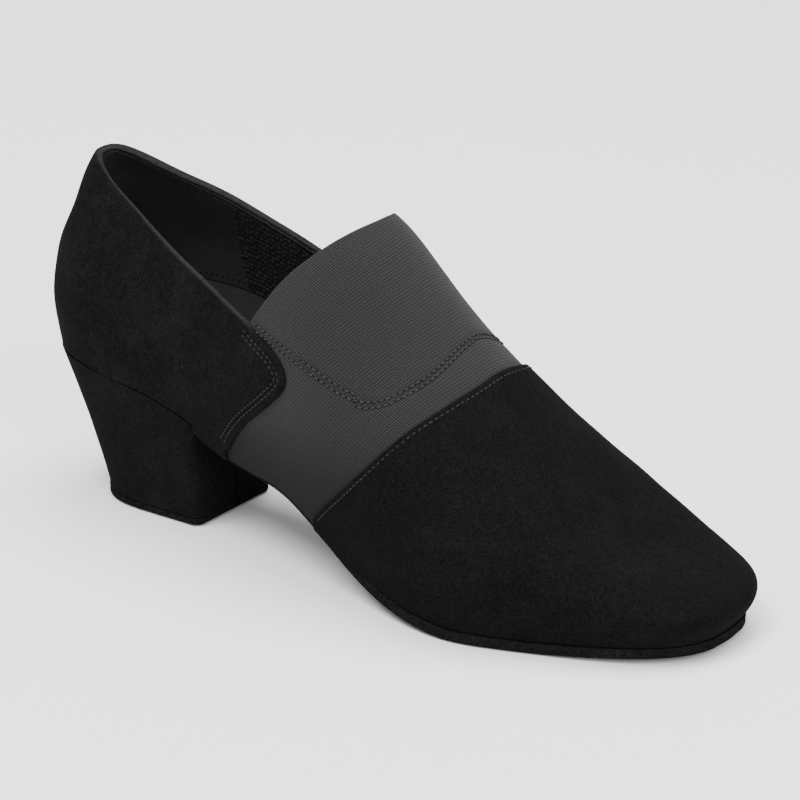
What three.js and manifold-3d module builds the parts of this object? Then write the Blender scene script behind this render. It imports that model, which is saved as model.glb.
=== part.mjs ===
// A right ballroom practice shoe with a covered block heel and an elastic gore.
// Lengths are in millimetres, +X runs to the toe, +Y to the wearer's left, +Z up.

import * as THREE from 'three';
import Module from 'manifold-3d';

const wasm = await Module();
wasm.setup();

// Sizes of the last
const LENGTH = 246;
const BALL_WIDTH = 86;
const INSTEP = 90;
const HEEL_HEIGHT = 48;
const BACK_HEIGHT = 65;
const TOE_SPRING = 2;
const TOE_WALL = 3;
const TOE_SLOPE = 20;
const TOE_SWING = 7.5;

// Thicknesses and fits
const WALL = 1.8;
const SUEDE = 1.2;
const FIT = 0.3;
const INSOLE = 2.4;
const SOLE = 3.4;
const SOLE_EDGE = 0.6;
const ARCH_INSET = 1.5;

// Sizes of the heel block and its tip
const TIP_BACK = 22;
const TIP_LENGTH = 43.8;
const TIP_HALF_WIDTH = 19.6;
const TIP_HEIGHT = 2.4;
const BREAST = 64.6;
const HEEL_CORNER = 3.5;
// Share of the tip that its round back takes, and how full that round is.
const TIP_BEND = 0.54;
const TIP_POWER = 2.8;

// How finely the forms are faceted
const STATIONS = 36;
const LEVELS = 12;
const HEEL_LEVELS = 7;

// Shape of the last along its length. xi is the share of LENGTH, rise the share of the
// heel height, spring that of the toe spring, height that of the instep, widest the share
// of the section's own height where it is widest, and lateral, medial and the two feet
// are half widths as shares of the ball width. round is the exponent of the upper curve.
const SECTIONS = [
  { xi: 0.00, rise: 1.000, spring: 0.0, height: 0.773, widest: 0.36, lateral: 0.348,
    medial: 0.332, lateralFoot: 0.308, medialFoot: 0.292, round: 2.05 },
  { xi: 0.10, rise: 0.920, spring: 0.0, height: 0.800, widest: 0.36, lateral: 0.310,
    medial: 0.305, lateralFoot: 0.270, medialFoot: 0.265, round: 1.80 },
  { xi: 0.22, rise: 0.810, spring: 0.0, height: 0.945, widest: 0.35, lateral: 0.308,
    medial: 0.328, lateralFoot: 0.263, medialFoot: 0.273, round: 1.88 },
  { xi: 0.34, rise: 0.600, spring: 0.0, height: 0.950, widest: 0.36, lateral: 0.372,
    medial: 0.350, lateralFoot: 0.290, medialFoot: 0.262, round: 2.18 },
  { xi: 0.44, rise: 0.530, spring: 0.0, height: 0.938, widest: 0.40, lateral: 0.438,
    medial: 0.332, lateralFoot: 0.358, medialFoot: 0.242, round: 1.98 },
  { xi: 0.54, rise: 0.225, spring: 0.0, height: 0.878, widest: 0.42, lateral: 0.473,
    medial: 0.378, lateralFoot: 0.403, medialFoot: 0.303, round: 1.82 },
  { xi: 0.64, rise: 0.050, spring: 0.0, height: 0.745, widest: 0.42, lateral: 0.522,
    medial: 0.414, lateralFoot: 0.470, medialFoot: 0.362, round: 1.92 },
  { xi: 0.72, rise: 0.000, spring: 0.0, height: 0.582, widest: 0.43, lateral: 0.540,
    medial: 0.464, lateralFoot: 0.498, medialFoot: 0.418, round: 2.05 },
  { xi: 0.82, rise: 0.000, spring: 0.0, height: 0.395, widest: 0.45, lateral: 0.465,
    medial: 0.460, lateralFoot: 0.430, medialFoot: 0.425, round: 2.10 },
  { xi: 0.92, rise: 0.000, spring: 0.6, height: 0.235, widest: 0.45, lateral: 0.413,
    medial: 0.424, lateralFoot: 0.379, medialFoot: 0.389, round: 2.10 },
  { xi: 1.00, rise: 0.000, spring: 0.7, height: 0.190, widest: 0.44, lateral: 0.382,
    medial: 0.396, lateralFoot: 0.347, medialFoot: 0.361, round: 2.18 },
];

// The heel's back curve: lean is a share of LENGTH, up a share of BACK_HEIGHT.
const HEEL_CURVE = [
  { up: -0.20, lean: 0.018 },
  { up: 0.00, lean: 0.008 },
  { up: 0.13, lean: 0.0025 },
  { up: 0.27, lean: 0.000 },
  { up: 0.42, lean: 0.005 },
  { up: 0.57, lean: 0.014 },
  { up: 0.72, lean: 0.029 },
  { up: 0.87, lean: 0.0385 },
  { up: 1.00, lean: 0.053 },
  { up: 1.30, lean: 0.105 },
];

// The collar and throat from the side: along is a share of LENGTH, up the height over the
// feather edge as a share of BACK_HEIGHT.
const TOPLINE = [
  { along: -0.080, up: 1.000 },
  { along: 0.060, up: 1.002 },
  { along: 0.074, up: 0.999 },
  { along: 0.090, up: 0.990 },
  { along: 0.120, up: 0.948 },
  { along: 0.157, up: 0.897 },
  { along: 0.200, up: 0.842 },
  { along: 0.250, up: 0.804 },
  { along: 0.300, up: 0.791 },
  { along: 0.338, up: 0.775 },
  { along: 0.365, up: 0.756 },
  { along: 0.380, up: 0.747 },
  { along: 0.395, up: 0.826 },
  { along: 0.411, up: 0.902 },
  { along: 0.429, up: 1.000 },
  { along: 0.445, up: 1.083 },
  { along: 0.458, up: 1.165 },
  { along: 0.472, up: 1.244 },
  { along: 0.485, up: 1.332 },
  { along: 0.495, up: 1.392 },
  { along: 0.500, up: 1.416 },
  { along: 0.505, up: 1.460 },
  { along: 0.512, up: 2.200 },
];

// The front edge of the quarter, from the collar down to the feather edge.
const WING = [
  { along: 0.360, up: 1.200 },
  { along: 0.367, up: 0.732 },
  { along: 0.390, up: 0.716 },
  { along: 0.411, up: 0.699 },
  { along: 0.426, up: 0.684 },
  { along: 0.441, up: 0.662 },
  { along: 0.452, up: 0.636 },
  { along: 0.455, up: 0.602 },
  { along: 0.451, up: 0.559 },
  { along: 0.442, up: 0.507 },
  { along: 0.417, up: 0.398 },
  { along: 0.391, up: 0.300 },
  { along: 0.361, up: 0.180 },
  { along: 0.327, up: 0.040 },
  { along: 0.305, up: -0.060 },
];

// The back edge of the vamp, from below the feather edge up over the ridge.
const VAMP_EDGE = [
  { along: 0.466, up: -0.070 },
  { along: 0.487, up: -0.010 },
  { along: 0.506, up: 0.118 },
  { along: 0.526, up: 0.244 },
  { along: 0.547, up: 0.366 },
  { along: 0.586, up: 0.583 },
  { along: 0.614, up: 0.727 },
  { along: 0.637, up: 0.836 },
  { along: 0.655, up: 0.910 },
  { along: 0.665, up: 0.961 },
  { along: 0.672, up: 0.998 },
  { along: 0.675, up: 1.020 },
  { along: 0.676, up: 1.100 },
];

// The ring of the section where the last is widest, and the lengths of its rounded ends.
const WIDEST_LEVEL = 0.34;
const TOE_DOME = 0.6;
const TOE_ROUND = 0.212;
const TOE_POWER = 2.65;
const HEEL_ROUND = 0.19;
const HEEL_POWER = 2.5;

/** Natural cubic spline through the points of two lists. */
function spline(xs, ys) {
  const n = xs.length;
  const h = xs.slice(1).map((x, i) => x - xs[i]);
  const m = new Array(n).fill(0);
  const c = new Array(n).fill(0);
  const d = new Array(n).fill(0);
  for (let i = 1; i < n - 1; i++) {
    const rhs = 6 * ((ys[i + 1] - ys[i]) / h[i] - (ys[i] - ys[i - 1]) / h[i - 1]);
    const pivot = 2 * (h[i - 1] + h[i]) - h[i - 1] * c[i - 1];
    c[i] = h[i] / pivot;
    d[i] = (rhs - h[i - 1] * d[i - 1]) / pivot;
  }
  for (let i = n - 2; i > 0; i--) m[i] = d[i] - c[i] * m[i + 1];
  return (value) => {
    const x = Math.min(Math.max(value, xs[0]), xs[n - 1]);
    let i = 0;
    while (i < n - 2 && x >= xs[i + 1]) i++;
    const a = x - xs[i];
    const b = xs[i + 1] - x;
    return (m[i] * b ** 3 + m[i + 1] * a ** 3) / (6 * h[i])
      + (ys[i] / h[i] - (m[i] * h[i]) / 6) * b
      + (ys[i + 1] / h[i] - (m[i + 1] * h[i]) / 6) * a;
  };
}

const column = (rows, key, value) => spline(rows.map((r) => r[key]), rows.map((r) => r[value]));
const section = {};
for (const key of Object.keys(SECTIONS[0])) section[key] = column(SECTIONS, 'xi', key);
const heelLean = column(HEEL_CURVE, 'up', 'lean');
const clamp = (v) => Math.min(Math.max(v, 0), 1);

/** Height of the feather edge at a share of the length. */
function feather(xi) {
  const rise = Math.max(section.rise(xi), 0) * (HEEL_HEIGHT - SOLE);
  return SOLE + rise + Math.max(section.spring(xi), 0) * TOE_SPRING;
}

/** Point of the last's surface: side is -1 lateral or 1 medial, t runs from feather to ridge. */
function lastPoint(xi, side, t) {
  const foot = feather(xi);
  const height = section.height(xi) * INSTEP;
  const bulge = foot + section.widest(xi) * height;
  const top = foot + height;
  const wide = (side > 0 ? section.medial(xi) : section.lateral(xi)) * BALL_WIDTH;
  const narrow = (side > 0 ? section.medialFoot(xi) : section.lateralFoot(xi)) * BALL_WIDTH;
  const low = t < WIDEST_LEVEL;
  const a = clamp(t / WIDEST_LEVEL) * Math.PI / 2;
  const b = clamp((t - WIDEST_LEVEL) / (1 - WIDEST_LEVEL)) * Math.PI / 2;
  const power = 2 / section.round(xi);
  const across = Math.max(Math.cos(b), 0) ** power;
  let y = low ? narrow + (wide - narrow) * Math.sin(a) : wide * across;
  const z = low ? foot + (bulge - foot) * t / WIDEST_LEVEL : bulge + (top - bulge) * Math.sin(b) ** power;
  const toeShare = clamp((xi - 1 + TOE_ROUND) / TOE_ROUND);
  const heelShare = clamp((HEEL_ROUND - xi) / HEEL_ROUND);
  y *= (1 - toeShare ** TOE_POWER) ** (1 / TOE_POWER);
  y *= (1 - heelShare ** HEEL_POWER) ** (1 / HEEL_POWER);
  const slope = TOE_SLOPE * clamp((xi - TOE_DOME) / (1 - TOE_DOME)) ** 2;
  const front = low ? LENGTH - TOE_WALL * (1 - Math.sin(a)) : LENGTH - slope * (1 - across ** 2);
  const back = heelLean((z - foot) / BACK_HEIGHT) * LENGTH;
  const swing = TOE_SWING * clamp((xi - 0.45) / 0.55) ** 2;
  return new THREE.Vector3(back + xi * (front - back), side * y + swing, z);
}

const stations = Array.from({ length: STATIONS }, (_, i) => {
  return (1 - Math.cos(Math.PI * i / (STATIONS - 1))) / 2;
});

/** Rings of the last, each a closed loop of points, from the feather edge to under the ridge. */
function lastRings() {
  const rings = [];
  for (let j = 0; j < LEVELS; j++) {
    const t = j / LEVELS;
    const near = stations.map((xi) => lastPoint(xi, -1, t));
    const far = stations.slice(1, -1).map((xi) => lastPoint(xi, 1, t));
    rings.push([...near, ...far.reverse()]);
  }
  return rings;
}

const COLUMNS = 2 * (STATIONS - 1);
const ridgeIndex = (i) => (i < STATIONS ? i : COLUMNS - i);

/** Triangles of the wall between the rings and up to the shared ridge row. */
function wallTriangles() {
  const tris = [];
  for (let j = 0; j < LEVELS; j++) {
    for (let i = 0; i < COLUMNS; i++) {
      const k = (i + 1) % COLUMNS;
      const a = j * COLUMNS + i;
      const b = j * COLUMNS + k;
      const lastRing = j === LEVELS - 1;
      const c = lastRing ? LEVELS * COLUMNS + ridgeIndex(k) : b + COLUMNS;
      const d = lastRing ? LEVELS * COLUMNS + ridgeIndex(i) : a + COLUMNS;
      if (a !== b) tris.push([a, b, c]);
      if (c !== d) tris.push([a, c, d]);
    }
  }
  return tris;
}

const rings = lastRings();
const ridge = stations.map((xi) => lastPoint(xi, 1, 1));
const skin = [...rings.flat(), ...ridge];
const walls = wallTriangles();

/** Mean normal of the wall's triangles at every point of the skin. */
function skinNormals() {
  const normals = skin.map(() => new THREE.Vector3());
  const ab = new THREE.Vector3();
  const ac = new THREE.Vector3();
  for (const [a, b, c] of walls) {
    ab.subVectors(skin[b], skin[a]);
    ac.subVectors(skin[c], skin[a]);
    const face = ab.cross(ac);
    for (const v of [a, b, c]) normals[v].add(face);
  }
  for (let i = 0; i < COLUMNS; i++) normals[i].z = 0;
  for (const n of normals) n.normalize();
  return normals;
}

const normals = skinNormals();

/** Turns points and triangles into a solid. */
function solid(points, triangles) {
  const vertProperties = new Float32Array(points.length * 3);
  points.forEach((p, i) => vertProperties.set([p.x, p.y, p.z], i * 3));
  const triVerts = new Uint32Array(triangles.flat());
  const mesh = new wasm.Mesh({ numProp: 3, vertProperties, triVerts });
  return new wasm.Manifold(mesh);
}

/** The last as a closed solid, grown outwards by grow, with its foot lowered by drop. */
function lastForm(grow, drop) {
  const points = skin.map((p, i) => p.clone().addScaledVector(normals[i], grow));
  for (let i = 0; i < COLUMNS; i++) points[i].z = skin[i].z;
  const triangles = walls.map((t) => [...t]);
  let foot = 0;
  if (drop > 0) {
    foot = points.length;
    for (let i = 0; i < COLUMNS; i++) points.push(points[i].clone().setZ(points[i].z - drop));
    for (let i = 0; i < COLUMNS; i++) {
      const k = (i + 1) % COLUMNS;
      triangles.push([foot + i, foot + k, k], [foot + i, k, i]);
    }
  }
  for (let i = 0; i < STATIONS - 1; i++) {
    const nearA = foot + i;
    const nearB = foot + i + 1;
    const farA = foot + (COLUMNS - i) % COLUMNS;
    const farB = foot + COLUMNS - i - 1;
    if (farA !== nearA) triangles.push([nearA, farA, nearB]);
    if (farB !== nearB) triangles.push([farA, farB, nearB]);
  }
  return solid(points, triangles);
}

/** Side view points of a table, at their heights over the feather edge. */
function sideCurve(rows) {
  return rows.map((r) => {
    const x = r.along * LENGTH;
    return new THREE.Vector2(x, feather(clamp(r.along)) + r.up * BACK_HEIGHT);
  });
}

/** Solid of a side view outline, as wide as the whole shoe. */
function sidePrism(outline) {
  const depth = 2 * BALL_WIDTH;
  const geometry = new THREE.ExtrudeGeometry(new THREE.Shape(outline), { depth, bevelEnabled: false });
  geometry.rotateX(Math.PI / 2);
  geometry.translate(0, BALL_WIDTH, 0);
  const position = geometry.getAttribute('position');
  const seen = new Map();
  const points = [];
  const index = [];
  for (let i = 0; i < position.count; i++) {
    const p = new THREE.Vector3().fromBufferAttribute(position, i);
    const key = `${p.x.toFixed(4)} ${p.y.toFixed(4)} ${p.z.toFixed(4)}`;
    if (!seen.has(key)) {
      seen.set(key, points.length);
      points.push(p);
    }
    index.push(seen.get(key));
  }
  const triangles = [];
  for (let i = 0; i < index.length; i += 3) triangles.push(index.slice(i, i + 3));
  return solid(points, triangles);
}

const ABOVE = HEEL_HEIGHT + 2 * BACK_HEIGHT + INSTEP;
const BELOW = -BACK_HEIGHT;
const topline = sideCurve(TOPLINE);
const toplineCut = sidePrism([
  ...topline,
  new THREE.Vector2(topline.at(-1).x, ABOVE),
  new THREE.Vector2(topline[0].x, ABOVE),
]);
const wing = sideCurve(WING);
const quarterRegion = sidePrism([
  new THREE.Vector2(topline[0].x, ABOVE),
  new THREE.Vector2(topline[0].x, BELOW),
  new THREE.Vector2(wing.at(-1).x, BELOW),
  ...[...wing].reverse(),
  new THREE.Vector2(wing[0].x, ABOVE),
]);
const vampEdge = sideCurve(VAMP_EDGE);
const vampRegion = sidePrism([
  new THREE.Vector2(vampEdge[0].x, BELOW),
  new THREE.Vector2(2 * LENGTH, BELOW),
  new THREE.Vector2(2 * LENGTH, ABOVE),
  new THREE.Vector2(vampEdge.at(-1).x, ABOVE),
  ...[...vampEdge].reverse(),
]);

// The upper and the two suede overlays that lie on it
const DROP = SOLE + WALL;
const upperOutside = -SUEDE - FIT;
const upperInside = upperOutside - WALL;
const upper = lastForm(upperOutside, 0).subtract(lastForm(upperInside, DROP)).subtract(toplineCut);
const suedeLayer = lastForm(0, 0).subtract(lastForm(-SUEDE, DROP));
const quarter = suedeLayer.subtract(toplineCut).intersect(quarterRegion);
const vamp = suedeLayer.intersect(vampRegion);

/** Slab along the last's foot between two shares of its length. */
function footSlab(from, to, overhang, under, thick) {
  const xis = [from, ...stations.filter((xi) => xi > from + 0.004 && xi < to - 0.004), to];
  const top = [];
  for (const side of [-1, 1]) {
    const row = xis.map((xi, i) => {
      const p = lastPoint(xi, side, 0);
      const a = lastPoint(Math.max(xi - 0.004, 0), side, 0);
      const b = lastPoint(Math.min(xi + 0.004, 1), side, 0);
      const run = new THREE.Vector3().subVectors(b, a).setZ(0).normalize();
      const out = new THREE.Vector3(-run.y, run.x, 0).multiplyScalar(side);
      if (xi === 0) out.set(-1, 0, 0);
      if (xi === 1) out.set(1, 0, 0);
      const cut = i === 0 && from > 0;
      if (cut) out.set(0, side, 0);
      return p.addScaledVector(out, overhang(xi)).setZ(feather(xi) - under);
    });
    top.push(row);
  }
  const [near, far] = top;
  if (from > 0) {
    near[0].x = lastPoint(from, -1, 0).x;
    far[0].x = near[0].x;
  }
  const closedStart = from === 0;
  const loop = [...near, ...far.slice(closedStart ? 1 : 0, -1).reverse()];
  const count = loop.length;
  const points = [...loop, ...loop.map((p) => p.clone().setZ(p.z - thick))];
  const triangles = [];
  for (let i = 0; i < count; i++) {
    const k = (i + 1) % count;
    triangles.push([count + i, count + k, k], [count + i, k, i]);
  }
  const n = near.length;
  const farOf = (i) => (i === n - 1 ? n - 1 : (closedStart && i === 0 ? 0 : count - i - (closedStart ? 0 : 1)));
  for (let i = 0; i < n - 1; i++) {
    const a = i;
    const b = i + 1;
    const c = farOf(i);
    const d = farOf(i + 1);
    if (a !== c) {
      triangles.push([a, b, c], [count + a, count + c, count + b]);
    }
    if (b !== d) {
      triangles.push([c, b, d], [count + c, count + d, count + b]);
    }
  }
  return solid(points, triangles);
}

/** Smooth step between two shares of the length. */
function ease(xi, from, to) {
  const s = clamp((xi - from) / (to - from));
  return s * s * (3 - 2 * s);
}

// Insole inside the upper, and the outsole from the heel's breast to the toe
const insoleInset = upperInside - FIT;
const insole = footSlab(0, 1, () => insoleInset, -INSOLE, INSOLE);
const overhang = (xi) => -ARCH_INSET + (ARCH_INSET + SOLE_EDGE) * ease(xi, 0.48, 0.66);

/** Share of the length where the foot of the last reaches a distance from the heel. */
function shareAt(x) {
  let low = 0;
  let high = 1;
  for (let i = 0; i < 40; i++) {
    const mid = (low + high) / 2;
    if (lastPoint(mid, -1, 0).x < x) low = mid;
    else high = mid;
  }
  return (low + high) / 2;
}

const breastShare = shareAt(BREAST);
const outsole = footSlab(shareAt(BREAST + FIT), 1, overhang, FIT, SOLE - FIT);

/** Outline of the heel's seat: the foot of the last from breast to back to breast. */
function seatOutline() {
  const shares = stations.filter((xi) => xi < breastShare - 0.006);
  const near = shares.map((xi) => lastPoint(xi, -1, 0));
  const far = shares.slice(1).map((xi) => lastPoint(xi, 1, 0));
  const cornerShare = shareAt(BREAST - HEEL_CORNER * 0.3);
  const corner = (side) => {
    const edge = lastPoint(cornerShare, side, 0);
    edge.y -= side * HEEL_CORNER * 0.3;
    const front = lastPoint(breastShare, side, 0);
    front.x = BREAST;
    front.y -= side * HEEL_CORNER;
    return [front, edge];
  };
  const usable = (p) => p.x < BREAST - HEEL_CORNER;
  return [...corner(-1), ...near.filter(usable).reverse(), ...far.filter(usable), ...corner(1).reverse()];
}

/** Outline of the tip with as many points as the seat, laid out at the same shares. */
function tipOutline(seat) {
  const xs = seat.map((p) => p.x);
  const back = Math.min(...xs);
  const reach = BREAST - back;
  const half = seat.length / 2;
  return seat.map((p, i) => {
    const share = (p.x - back) / reach;
    const side = p.y < 0 ? -1 : 1;
    const x = TIP_BACK + share * TIP_LENGTH;
    if (i === 0 || i === seat.length - 1) {
      return new THREE.Vector2(x, side * (TIP_HALF_WIDTH - HEEL_CORNER));
    }
    if (i === 1 || i === seat.length - 2) {
      return new THREE.Vector2(x, side * (TIP_HALF_WIDTH - HEEL_CORNER * 0.3));
    }
    const bend = clamp((TIP_BEND - share) / TIP_BEND);
    const y = TIP_HALF_WIDTH * (1 - bend ** TIP_POWER) ** (1 / TIP_POWER);
    return new THREE.Vector2(x, Math.abs(i + 0.5 - half) < 0.6 && share < 0.001 ? 0 : side * y);
  });
}

const seat = seatOutline();
const tip = tipOutline(seat);

/** Loft of the heel's outline between two shares of the way from floor to seat. */
function heelLoft(sections) {
  const count = seat.length;
  const points = [];
  for (const at of sections) {
    for (let i = 0; i < count; i++) points.push(at(i));
  }
  const triangles = [];
  for (let j = 0; j < sections.length - 1; j++) {
    for (let i = 0; i < count; i++) {
      const k = (i + 1) % count;
      const a = j * count + i;
      const b = j * count + k;
      triangles.push([a, b + count, b], [a, a + count, b + count]);
    }
  }
  const top = (sections.length - 1) * count;
  for (let i = 0; i < Math.floor(count / 2); i++) {
    const a = i;
    const b = i + 1;
    const c = count - 1 - i;
    const d = count - 2 - i;
    if (b < c) {
      triangles.push([a, b, c], [top + a, top + c, top + b]);
    }
    if (b < d) {
      triangles.push([b, d, c], [top + b, top + c, top + d]);
    }
  }
  return solid(points, triangles);
}

/** Point of the heel's side at a share of the way up, between the tip and the seat. */
function heelPoint(i, share) {
  const flare = share ** 1.15;
  const x = tip[i].x + (seat[i].x - tip[i].x) * flare;
  const y = tip[i].y + (seat[i].y - tip[i].y) * flare;
  const z = TIP_HEIGHT + (seat[i].z - FIT - TIP_HEIGHT) * share;
  return new THREE.Vector3(x, y, z + FIT * (1 - share));
}

const heelSections = Array.from({ length: HEEL_LEVELS }, (_, j) => (i) => heelPoint(i, j / (HEEL_LEVELS - 1)));
const heel = heelLoft(heelSections);
const heelTip = heelLoft([
  (i) => new THREE.Vector3(tip[i].x, tip[i].y, 0),
  (i) => new THREE.Vector3(tip[i].x, tip[i].y, TIP_HEIGHT),
]);

/** Makes a named mesh of a solid, with its own material. */
function meshOf(name, body, color, roughness) {
  const got = body.getMesh();
  const geometry = new THREE.BufferGeometry();
  const flat = new Float32Array(got.numVert * 3);
  for (let i = 0; i < got.numVert; i++) {
    for (let j = 0; j < 3; j++) flat[i * 3 + j] = got.vertProperties[i * got.numProp + j];
  }
  geometry.setAttribute('position', new THREE.BufferAttribute(flat, 3));
  geometry.setIndex(new THREE.BufferAttribute(new Uint32Array(got.triVerts), 1));
  geometry.computeVertexNormals();
  const material = new THREE.MeshStandardMaterial({ color, roughness, metalness: 0 });
  const mesh = new THREE.Mesh(geometry, material);
  mesh.name = name;
  return mesh;
}

// The shoe stands with the middle of its heel tip at the origin
const shoe = new THREE.Group();
shoe.position.x = -(TIP_BACK + TIP_LENGTH / 2);
shoe.add(meshOf('upper', upper, 0x434446, 0.9));
shoe.add(meshOf('vamp', vamp, 0x19191a, 0.96));
shoe.add(meshOf('quarter', quarter, 0x19191a, 0.96));
shoe.add(meshOf('insole', insole, 0x262627, 0.8));
shoe.add(meshOf('outsole', outsole, 0x1c1b1b, 0.9));
shoe.add(meshOf('heel', heel, 0x19191a, 0.96));
shoe.add(meshOf('heel_tip', heelTip, 0x161616, 0.9));

const part = new THREE.Group();
part.add(shoe);

export default part;
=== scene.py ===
import logging
import math
from collections.abc import Callable
from dataclasses import dataclass, field
from enum import Enum

import bpy
import numpy as np
from mathutils import Matrix, Vector


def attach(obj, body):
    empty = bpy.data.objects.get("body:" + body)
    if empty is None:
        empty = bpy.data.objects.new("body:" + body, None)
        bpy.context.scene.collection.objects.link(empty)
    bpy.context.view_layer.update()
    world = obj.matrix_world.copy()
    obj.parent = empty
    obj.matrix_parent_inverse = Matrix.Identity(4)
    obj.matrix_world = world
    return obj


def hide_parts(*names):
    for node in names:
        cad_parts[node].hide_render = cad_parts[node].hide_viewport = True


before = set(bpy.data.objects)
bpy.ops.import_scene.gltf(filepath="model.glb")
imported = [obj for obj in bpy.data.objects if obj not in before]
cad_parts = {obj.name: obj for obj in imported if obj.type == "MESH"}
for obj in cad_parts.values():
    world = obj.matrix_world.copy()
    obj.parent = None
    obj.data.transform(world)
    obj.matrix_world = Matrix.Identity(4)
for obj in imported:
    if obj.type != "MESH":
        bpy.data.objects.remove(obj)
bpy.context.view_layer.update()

log = logging.getLogger("dance_shoe")
MM = 0.001
Colour = tuple[float, float, float, float]


class Side(Enum):
    """The two sides of the right shoe."""

    LATERAL = -1
    MEDIAL = 1


SIDES = (Side.LATERAL.value, Side.MEDIAL.value)


class Finish(Enum):
    """The record's material slots."""

    SUEDE = "suede"
    ELASTIC = "elastic"
    LINING = "lining"
    SOLE = "sole_suede"


def spline(xs: np.ndarray, ys: np.ndarray) -> Callable[[np.ndarray], np.ndarray]:
    """Makes a natural cubic spline.

    Args:
        xs: The places of the points, rising.
        ys: The values at the points.

    Returns:
        A function of an array of places.
    """
    count = len(xs)
    step = np.diff(xs)
    system = np.eye(count)
    right = np.zeros(count)
    for i in range(1, count - 1):
        system[i, i - 1:i + 2] = step[i - 1], 2 * (step[i - 1] + step[i]), step[i]
        right[i] = 6 * ((ys[i + 1] - ys[i]) / step[i] - (ys[i] - ys[i - 1]) / step[i - 1])
    bend = np.linalg.solve(system, right)

    def value(at: np.ndarray) -> np.ndarray:
        """Reads the spline.

        Args:
            at: The places.

        Returns:
            The values.
        """
        x = np.clip(np.asarray(at, float), xs[0], xs[-1])
        i = np.clip(np.searchsorted(xs, x, side="right") - 1, 0, count - 2)
        a, b, h = x - xs[i], xs[i + 1] - x, step[i]
        return ((bend[i] * b ** 3 + bend[i + 1] * a ** 3) / (6 * h)
                + (ys[i] / h - bend[i] * h / 6) * b + (ys[i + 1] / h - bend[i + 1] * h / 6) * a)

    return value


def smooth_step(share: np.ndarray) -> np.ndarray:
    """Eases a share between 0 and 1, clipped beyond them.

    Args:
        share: The shares.

    Returns:
        The eased shares.
    """
    share = np.clip(share, 0, 1)
    return share * share * (3 - 2 * share)


def distances(points: np.ndarray) -> np.ndarray:
    """Measures along a curve, or down the columns of a grid.

    Args:
        points: The points.

    Returns:
        The distance of each point from the start.
    """
    steps = np.linalg.norm(np.diff(points, axis=0), axis=-1)
    return np.concatenate([np.zeros_like(steps[:1]), np.cumsum(steps, axis=0)])


def unit(vectors: np.ndarray) -> np.ndarray:
    """Vectors brought to length 1."""
    return vectors / np.maximum(np.linalg.norm(vectors, axis=-1, keepdims=True), 1e-12)


@dataclass(frozen=True)
class Section:
    """One section of the last, as shares of its sizes."""

    xi: float
    rise: float
    spring: float
    height: float
    widest: float
    lateral: float
    medial: float
    lateral_foot: float
    medial_foot: float
    round: float


@dataclass(frozen=True)
class Spot:
    """A point of a panel's border: its share of the length and its level."""

    xi: float
    level: float


SECTIONS = (
    Section(0.00, 1.000, 0.0, 0.773, 0.36, 0.348, 0.332, 0.308, 0.292, 2.05),
    Section(0.10, 0.920, 0.0, 0.800, 0.36, 0.310, 0.305, 0.270, 0.265, 1.80),
    Section(0.22, 0.810, 0.0, 0.945, 0.35, 0.308, 0.328, 0.263, 0.273, 1.88),
    Section(0.34, 0.600, 0.0, 0.950, 0.36, 0.372, 0.350, 0.290, 0.262, 2.18),
    Section(0.44, 0.530, 0.0, 0.938, 0.40, 0.438, 0.332, 0.358, 0.242, 1.98),
    Section(0.54, 0.225, 0.0, 0.878, 0.42, 0.473, 0.378, 0.403, 0.303, 1.82),
    Section(0.64, 0.050, 0.0, 0.745, 0.42, 0.522, 0.414, 0.470, 0.362, 1.92),
    Section(0.72, 0.000, 0.0, 0.582, 0.43, 0.540, 0.464, 0.498, 0.418, 2.05),
    Section(0.82, 0.000, 0.0, 0.395, 0.45, 0.465, 0.460, 0.430, 0.425, 2.10),
    Section(0.92, 0.000, 0.6, 0.235, 0.45, 0.413, 0.424, 0.379, 0.389, 2.10),
    Section(1.00, 0.000, 0.7, 0.190, 0.44, 0.382, 0.396, 0.347, 0.361, 2.18),
)

HEEL_CURVE = ((-0.20, 0.018), (0.00, 0.008), (0.13, 0.0025), (0.27, 0.000), (0.42, 0.005),
              (0.57, 0.014), (0.72, 0.029), (0.87, 0.0385), (1.00, 0.053), (1.30, 0.105))

COLLAR = (Spot(0.000, 0.766), Spot(0.017, 0.763), Spot(0.064, 0.720), Spot(0.112, 0.660),
          Spot(0.160, 0.585), Spot(0.198, 0.533), Spot(0.230, 0.503), Spot(0.270, 0.485),
          Spot(0.313, 0.473), Spot(0.358, 0.460))

THROAT = (Spot(0.358, 0.460), Spot(0.368, 0.500), Spot(0.377, 0.540), Spot(0.386, 0.590),
          Spot(0.395, 0.640), Spot(0.405, 0.690), Spot(0.416, 0.750), Spot(0.427, 0.820),
          Spot(0.437, 0.900), Spot(0.441, 0.950), Spot(0.442, 1.000))

WING = (Spot(0.366, 0.452), Spot(0.394, 0.434), Spot(0.410, 0.425), Spot(0.424, 0.413),
        Spot(0.435, 0.400), Spot(0.441, 0.380), Spot(0.438, 0.355), Spot(0.429, 0.322),
        Spot(0.408, 0.260), Spot(0.384, 0.200), Spot(0.357, 0.125), Spot(0.329, 0.030),
        Spot(0.322, 0.000))

VAMP_EDGE = (Spot(0.489, 0.000), Spot(0.509, 0.080), Spot(0.549, 0.250), Spot(0.582, 0.410),
             Spot(0.603, 0.520), Spot(0.622, 0.620), Spot(0.637, 0.710), Spot(0.647, 0.795),
             Spot(0.653, 0.880), Spot(0.654, 0.950), Spot(0.654, 1.000))

GORE_SEAM = (Spot(0.363, 0.460), Spot(0.403, 0.445), Spot(0.442, 0.443), Spot(0.473, 0.458),
             Spot(0.499, 0.480), Spot(0.520, 0.502), Spot(0.539, 0.530), Spot(0.557, 0.566),
             Spot(0.573, 0.612), Spot(0.587, 0.670), Spot(0.598, 0.735), Spot(0.604, 0.810),
             Spot(0.604, 0.900), Spot(0.602, 1.000))


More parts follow.
